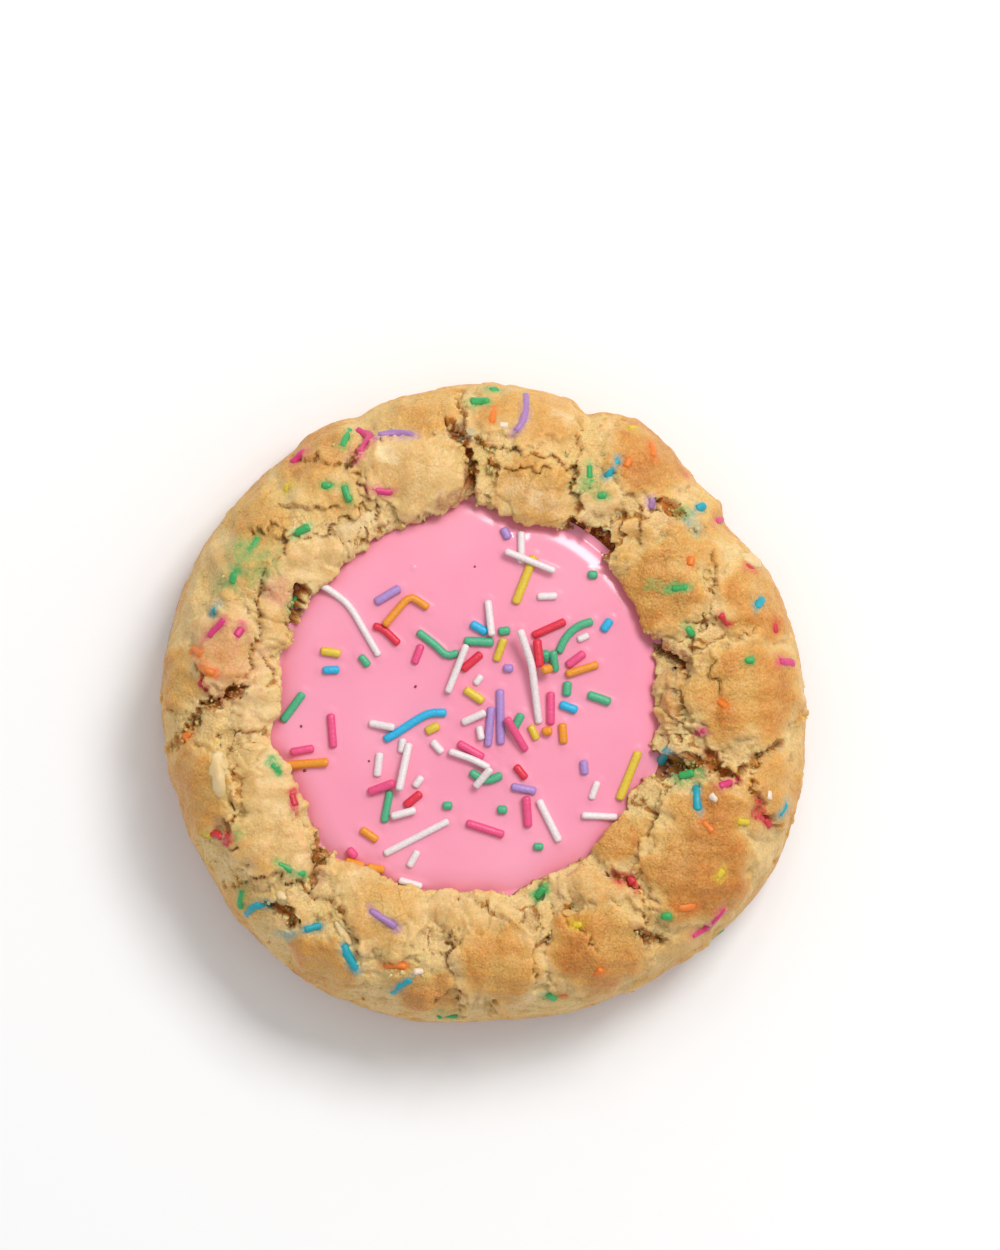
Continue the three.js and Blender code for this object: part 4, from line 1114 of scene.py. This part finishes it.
# Sugar strands on the icing: sugar, starch and fat paste coloured, pressed through a plate in threads
# and broken, so each is a matte rod with blunt ends. They were strewn over the wet icing: the lowest
# sank a quarter of their thickness into it, and the others lie tilted across them.
STRAND_STEP = 0.5
STRAND_SIDES = 10
SHORTEST = 1.5
THIN_WHITE = 0.86
PRESSED = 0.35
TOUCH = 0.9
CAP = 0.42
CAP_ROWS = np.array([0.04, 0.2, 0.55, 1])
CAP_ROUNDNESS = 2.6
CURVE_STEPS = 16
RING_STEPS = 1.6
STREWN_THICKNESS = (0.96, 1.12)
PASTE_SHADES = (0.7, 1.15)
STREWING = np.random.default_rng(5)


def bent_line(flat, step):
    """Points about one step apart on a smooth curve through a strand's ends and bends."""
    knots = np.reshape(flat, (-1, 2)).astype(float)
    knots = np.concatenate([[2 * knots[0] - knots[1]], knots, [2 * knots[-1] - knots[-2]]])
    t = np.linspace(0, 1, CURVE_STEPS, endpoint=False)[:, None]
    spans = [catmull_rom(*knots[i:i + 4], t) for i in range(len(knots) - 3)]
    curve = np.concatenate(spans + [knots[-2:-1]])
    length = np.concatenate([[0], np.cumsum(np.linalg.norm(np.diff(curve, axis=0), axis=1))])
    places = np.linspace(0, length[-1], max(3, round(length[-1] / step) + 1))
    line = np.stack([np.interp(places, length, curve[:, i]) for i in (0, 1)], axis=-1)
    short = max(0, SHORTEST - length[-1]) / 2 * (curve[-1] - curve[0]) / length[-1]
    return line + np.linspace(-1, 1, len(line))[:, None] * short


def rod(path, thickness, lumps=0.0):
    """Vertices and faces of a rod along a path. Each ring is a circle square to the path; within one cap
    of an end its radius is r sqrt(1 - (1 - s/cap)^roundness), for the distance s from that end. Noise makes
    the radius greater or less by a share of it."""
    length = np.concatenate([[0], np.cumsum(np.linalg.norm(np.diff(path, axis=0), axis=1))])
    rim = CAP * CAP_ROWS
    rings = max(2, round(length[-1] / STRAND_STEP / RING_STEPS))
    middle = np.linspace(CAP, length[-1] - CAP, rings)[1:-1]
    places = np.concatenate([rim, middle, length[-1] - rim[::-1]])
    line = np.stack([np.interp(places, length, path[:, i]) for i in range(3)], axis=-1)
    ahead = np.gradient(line, axis=0)
    ahead /= np.linalg.norm(ahead, axis=1, keepdims=True)
    right = np.cross(ahead, [0, 0, 1])
    right /= np.linalg.norm(right, axis=1, keepdims=True)
    up = np.cross(right, ahead)
    from_end = np.clip(np.minimum(places, length[-1] - places) / CAP, 0, 1)
    radius = thickness / 2 * np.sqrt(1 - (1 - from_end) ** CAP_ROUNDNESS)
    turn = full_turn(STRAND_SIDES)[None, :, None]
    circle = right[:, None] * np.sin(turn) + up[:, None] * np.cos(turn)
    offset = radius[:, None, None] * circle
    offset *= 1 + lumps * unevenness(line[:, None] + offset, 1.1, 7.7)[..., None]
    return closed_rings(path[0], line[:, None] + offset, path[-1])


def joined(shapes):
    """The vertices and faces of several shapes as one mesh."""
    starts = np.cumsum([0] + [len(vertices) for vertices, faces in shapes])
    faces = [[int(start) + v for v in face] for start, shape in zip(starts, shapes) for face in shape[1]]
    return np.concatenate([vertices for vertices, _ in shapes]), faces


def laid_height(plan, below):
    """Heights of a stiff strand's axis over its plan. Each of its points has to stay above the icing and
    a thickness away from the strands below, and the strand lies on the two of those points whose
    straight line is lowest at its middle and is under no other."""
    need = icing_height(plan) + STRAND * (STRAND_PROUD - 0.5)
    if len(below):
        aside = np.linalg.norm(plan[:, None] - below[None, :, :2], axis=-1)
        over = below[:, 2] + np.sqrt(np.clip(STRAND**2 - aside**2, 0, None)) - PRESSED
        need = np.maximum(need, np.where(aside < TOUCH * STRAND, over, 0).max(axis=1))
    s = np.linspace(-1, 1, len(plan))
    lowest = np.full(len(plan), need.max())
    for i, j in itertools.product(range((len(plan) + 1) // 2), range(len(plan) // 2, len(plan))):
        if i == j:
            continue
        line = need[i] + (need[j] - need[i]) * (s - s[i]) / (s[j] - s[i])
        if np.all(line >= need - 0.02) and line.mean() < lowest.mean():
            lowest = line
    return lowest


def strand_material(name, code):
    """Pressed sugar paste: opaque and almost matte, with a grain too fine to see one by one and a soft
    shine where the starch was polished off."""
    material, tree, surface, place = new_material(name)
    grain = noise(tree, place, 0.4, 2, 0.7)
    dark, light = ([share * c for c in linear(code)[:3]] + [1] for share in PASTE_SHADES)
    set_inputs(tree, surface, {
        "Base Color": mixed(tree, grain, dark, light), "Normal": bump(tree, grain, 0.1),
        "Roughness": 0.38, "IOR": 1.5,
    })
    return material


laid = np.empty((0, 3))
for strand_colour, strands in ICING_STRANDS.items():
    shapes = []
    for flat in strands:
        plan = bent_line(flat, STRAND_STEP)
        path = with_height(plan, laid_height(plan, laid))
        laid = np.concatenate([laid, path])
        thin = THIN_WHITE if strand_colour == "white" else 1
        shapes.append(rod(path, STRAND * STREWING.uniform(*STREWN_THICKNESS) * thin))
    piece = add_piece(f"{strand_colour}_strands_on_icing", *joined(shapes))
    piece.data.materials.append(
        strand_material(f"{strand_colour}_sugar_paste", STRAND_COLOURS[strand_colour]))
    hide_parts("icing")
    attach(piece, "root")


# Sugar strands baked into the crust: the same strands, stirred into the dough. Fat and steam softened
# them in the oven, so they are more sunk, more uneven and deeper in colour than those on the icing.
BAKED_SINK = (0.12, 0.42)
BAKED_LUMPS = 0.35
BAKED_THICKNESS = (0.85, 1.1)
STIFFNESS = 3
RAY_START = 40
SIDE_STRANDS = 26
SIDE_HEIGHTS = (1.4, 4.6)
SIDE_SLANTS = (-0.9, 0.9)
SIDE_LENGTHS = (1.6, 3.6)
SIDE_THICKNESS = (0.8, 1)
SIDE_POINTS = 6
SIDE_SINK = 0.4
SIDE_LUMPS = 0.15
BAKING = np.random.default_rng(8)

dough_surface = BVHTree.FromObject(dough, bpy.context.evaluated_depsgraph_get())


def meet_dough(origin, direction):
    """Where a ray meets the dough, and the dough's normal there. A ray that misses is moved inward."""
    place = None
    while place is None:
        place, normal, _, _ = dough_surface.ray_cast(Vector(origin) * MM, Vector(direction))
        origin = origin * np.array([0.99, 0.99, 1])
    return np.array(place) / MM, np.array(normal)


def sunk_path(origins, direction, sink):
    """The path of a strand in the dough: where rays from its points meet the dough, less the sink along
    the dough's own normal, evened out as a stiff strand is."""
    hits = [meet_dough(origin, direction) for origin in origins]
    path = np.array([place - normal * sink for place, normal in hits])
    for _ in range(STIFFNESS):
        path[1:-1] = (path[:-2] + path[1:-1] + path[2:]) / 3
    return path


def side_strand():
    """Rays for a strand drawn at random in the cookie's side: their starts and their way inward."""
    bearing, height = BAKING.uniform(0, 2 * np.pi), BAKING.uniform(*SIDE_HEIGHTS)
    slant, length = BAKING.uniform(*SIDE_SLANTS), BAKING.uniform(*SIDE_LENGTHS)
    along = np.linspace(-length / 2, length / 2, SIDE_POINTS)
    bearings = bearing + along * math.cos(slant) / (DIAMETER / 2)
    starts = with_height(at_bearing(bearings, DIAMETER), height + along * math.sin(slant))
    return starts, [-math.cos(bearing), -math.sin(bearing), 0]


baked = {name: [] for name in CRUST_STRANDS}
for strand_colour, strands in CRUST_STRANDS.items():
    for flat in strands:
        starts = with_height(bent_line(flat, STRAND_STEP), RAY_START)
        path = sunk_path(starts, [0, 0, -1], BAKING.uniform(*BAKED_SINK))
        baked[strand_colour].append(rod(path, STRAND * BAKING.uniform(*BAKED_THICKNESS), BAKED_LUMPS))
for i in range(SIDE_STRANDS):
    strand_colour = list(baked)[i % len(baked)]
    path = sunk_path(*side_strand(), SIDE_SINK)
    baked[strand_colour].append(rod(path, STRAND * BAKING.uniform(*SIDE_THICKNESS), SIDE_LUMPS))
for strand_colour, shapes in baked.items():
    piece = add_piece(f"{strand_colour}_strands_in_crust", *joined(shapes))
    piece.data.materials.append(
        strand_material(f"{strand_colour}_baked_sugar_paste", BAKED_COLOURS[strand_colour]))
    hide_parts("cookie")
    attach(piece, "root")


# White chocolate: chunks stirred into the dough, of which a smooth, cream-coloured face shows here and
# there in the crust where they softened in the oven.
CHUNK_RINGS = 16
CHUNK_SIDES = 28
CHUNK_PROUD = 0.65
CHUNK_SUNK = 0.8
CHUNK_EVENING = 12
CHUNK_DENTS = 0.4

# Chunks: middle x and y, half length, half width, turn in degrees
CHUNKS = [
    [-38.4, -10.4, 4.9, 2.2, 97], [39.6, 21, 2.6, 1.3, -35], [-29.3, -28.6, 1.9, 1.3, -60],
    [-20.4, -33.6, 2.7, 0.85, -55],
]


def evened(rows, rounds):
    """Rows of values averaged with their neighbours along and across the rows, a few times over."""
    for _ in range(rounds):
        rows = (rows + np.roll(rows, 1, 1) + np.roll(rows, -1, 1)) / 3
        rows[1:-1] = (rows[:-2] + rows[1:-1] + rows[2:]) / 3
    return rows


def chunk(x, y, length, width, turn):
    """A melted lump set in the dough. Its rings run from the middle of its face out to its rim and back
    in below. Each point lies on the dough under it, evened out, and stands off that by proud or sunk
    times the cosine of its turn over the lump. Noise makes the rim irregular."""
    over = np.linspace(0, np.pi, CHUNK_RINGS + 2)[1:-1, None]
    bearing = full_turn(CHUNK_SIDES)[None, :]
    rim = with_height(at_bearing(bearing, 1.0), x)
    share = np.sin(over) * (1 + CHUNK_DENTS * unevenness(rim, 0.9, 2.1))
    ahead = at_bearing(math.radians(turn), length)
    aside = at_bearing(math.radians(turn + 90), width)
    unit = at_bearing(bearing, share)
    plan = np.array([x, y]) + unit[..., :1] * ahead + unit[..., 1:] * aside
    hits = [meet_dough([*place, RAY_START], [0, 0, -1]) for place in plan.reshape(-1, 2)]
    face = np.array([place for place, _ in hits]).reshape(plan.shape[:-1] + (3,))
    up = np.mean([normal for _, normal in hits], axis=0)
    face = evened(face, CHUNK_EVENING)
    stand = np.where(over < np.pi / 2, CHUNK_PROUD, CHUNK_SUNK) * np.cos(over)
    rings = face + stand[..., None] * up
    top, bottom = (rings[i].mean(axis=0) for i in (0, -1))
    return closed_rings(bottom, rings[::-1], top)


chocolate = add_piece("white_chocolate", *joined([chunk(*place) for place in CHUNKS]))


def white_chocolate_material():
    """Cocoa butter, milk and sugar, melted and set: cream white, smooth and waxy."""
    material, tree, surface, place = new_material("baked_white_chocolate")
    cloud = noise(tree, place, 1.6, 3, 0.6)
    set_inputs(tree, surface, {
        "Base Color": ramp(tree, cloud, [(0.35, "DFBD83"), (0.65, "EACF9C")]),
        "Normal": bump(tree, cloud, 0.12, 0.6), "Roughness": 0.5,
        "Subsurface Weight": 0.2, "Subsurface Radius": (1, 0.7, 0.45), "Subsurface Scale": 1 * MM,
    })
    return material


chocolate.data.materials.append(white_chocolate_material())
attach(chocolate, "root")


# Crumbs: bits of pale dough that broke off along the torn edges and lie in the gaps and on the lip.
# They keep the dough's own finish, and a few browned specks of them fell on the icing.
CRUMBS = 500
CRUMB_SIZES = (0.3, 0.95)
CRUMB_SIDES = 7
CRUMB_RINGS = 4
CRUMB_DENTS = 0.5
CRUMB_SQUEEZE = (0.55, 1.1)
CRUMB_STANDS = 0.2
CRUMB_BROWN = (0.1, 0.6)

# Crumbs grow likelier over these heights and depths, lie mostly where the dough is torn, and most are
# small
CRUMB_HEIGHTS = (14, 19)
CRUMB_DEPTHS = (0.2, 1.5)
SHALLOW_SHARE = 0.35
TORN_POWER = 3
SMALL_POWER = 2.2
CRUMBLING = np.random.default_rng(4)

# Specks on the icing: x, y and width
SPECKS = [[-9.8, 2.4, 0.5], [-16.6, -8.5, 0.35], [-1.1, 20, 0.4], [-26.5, -3.4, 0.4], [-26, -9.9, 0.5]]


def crumb_shapes(middles, sizes):
    """Vertices and faces of lumps of given widths: the unit ball by rings of latitude, dented by noise,
    squeezed along its own axes by random shares, and turned at random."""
    latitude = np.linspace(-np.pi / 2, np.pi / 2, CRUMB_RINGS + 2)[1:-1, None]
    bearing = full_turn(CRUMB_SIDES)[None, :]
    rings = with_height(at_bearing(bearing, np.cos(latitude)), np.sin(latitude))
    ball, faces = closed_rings([0, 0, -1], rings, [0, 0, 1])
    count = len(middles)
    places = ball + 9 * CRUMBLING.random((count, 1, 3))
    lumps = ball * (1 + CRUMB_DENTS * unevenness(places, 0.9))[..., None]
    turns = np.linalg.qr(CRUMBLING.normal(size=(count, 3, 3)))[0]
    turns *= np.sign(np.linalg.det(turns))[:, None, None]
    lumps = lumps * CRUMBLING.uniform(*CRUMB_SQUEEZE, (count, 1, 3)) @ turns
    lumps = middles[:, None] + lumps * sizes[:, None, None] / 2
    tiled = [[v + k * len(ball) for v in face] for k in range(count) for face in faces]
    return lumps.reshape(-1, 3), tiled, len(ball)


crust_vertices = dough_rings.reshape(-1, 3)
crust_depth = dough_values["depth"].ravel()
likely = dough_values["torn"].ravel() ** TORN_POWER * smoothstep(*CRUMB_HEIGHTS, crust_vertices[:, 2])
likely *= SHALLOW_SHARE + smoothstep(*CRUMB_DEPTHS, crust_depth)
chosen = CRUMBLING.choice(len(likely), CRUMBS, p=likely / likely.sum())
smallest, largest = CRUMB_SIZES
crumb_sizes = smallest + (largest - smallest) * CRUMBLING.random(CRUMBS) ** SMALL_POWER
crumb_normals = ring_normals(dough_rings).reshape(-1, 3)[chosen]
crumb_middles = crust_vertices[chosen] + crumb_normals * CRUMB_STANDS * crumb_sizes[:, None]
crumb_vertices, crumb_faces, per_crumb = crumb_shapes(crumb_middles, crumb_sizes)
crumbs = add_piece("crumbs", crumb_vertices, crumb_faces)
crumb_values = {
    "bake": CRUMBLING.uniform(*CRUMB_BROWN, CRUMBS),
    "torn": np.ones(CRUMBS),
    "crack": np.full(CRUMBS, FAR),
    # Crumbs carry a fifth of the painted gap shade, and the strands' colour and painted maroon shade from
    # where they lie
    "depth": 0.2 * crust_depth[chosen],
    "run": dough_values["run"].reshape(-1, 4)[chosen],
}
for value_name, values in crumb_values.items():
    add_values(crumbs, value_name, np.repeat(values, per_crumb, axis=0))
crumbs.data.materials.append(dough.data.materials[0])
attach(crumbs, "root")

speck_plan = np.array(SPECKS)
speck_middles = with_height(speck_plan[:, :2], icing_height(speck_plan[:, :2]))
speck_vertices, speck_faces, per_speck = crumb_shapes(speck_middles, speck_plan[:, 2])
specks = add_piece("specks_on_icing", speck_vertices, speck_faces)
specks.data.materials.append(strand_material("scorched_sugar", "8A3B2A"))
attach(specks, "root")


# Floor and light: a plain white table in a white room, under a soft light from the upper right
# with a weak one at each side of it.
FLOOR_REACH = 4000
LIGHT_DISTANCE = 1.1
ROOM = 0.55

floor_corners = FLOOR_REACH * np.array([[-1, -1, 0], [1, -1, 0], [1, 1, 0], [-1, 1, 0]])
floor = add_piece("floor", floor_corners, [[0, 1, 2, 3]])
table_top, table_tree, table_surface, _ = new_material("white_table_top")
set_inputs(table_tree, table_surface, {"Base Color": linear("FBFBFB"), "Roughness": 0.9})
floor.data.materials.append(table_top)

world = bpy.data.worlds.new("white_room")
bpy.context.scene.world = world
world.use_nodes = True
walls = world.node_tree.nodes["Background"]
set_inputs(world.node_tree, walls, {"Color": linear("FFFFFF"), "Strength": ROOM})


def add_light(name, bearing, elevation, size, brightness):
    """A square area light that faces the cookie. brightness is what it adds to a white level surface:
    power / (pi d)^2 times the sine of its elevation."""
    turn, rise = math.radians(bearing), math.radians(elevation)
    light = bpy.data.lights.new(name, "AREA")
    light.size = size
    light.energy = brightness * (math.pi * LIGHT_DISTANCE) ** 2 / math.sin(rise)
    holder = bpy.data.objects.new(name, light)
    bpy.context.scene.collection.objects.link(holder)
    flat = LIGHT_DISTANCE * math.cos(rise)
    way = Vector((flat * math.cos(turn), flat * math.sin(turn), LIGHT_DISTANCE * math.sin(rise)))
    holder.location = way
    holder.rotation_euler = way.to_track_quat("Z", "Y").to_euler()


add_light("key", 52, 54, 0.36, 0.45)
add_light("right", 26, 52, 0.16, 0.04)
add_light("back", 84, 52, 0.18, 0.05)
bpy.context.scene.view_settings.view_transform = "Standard"
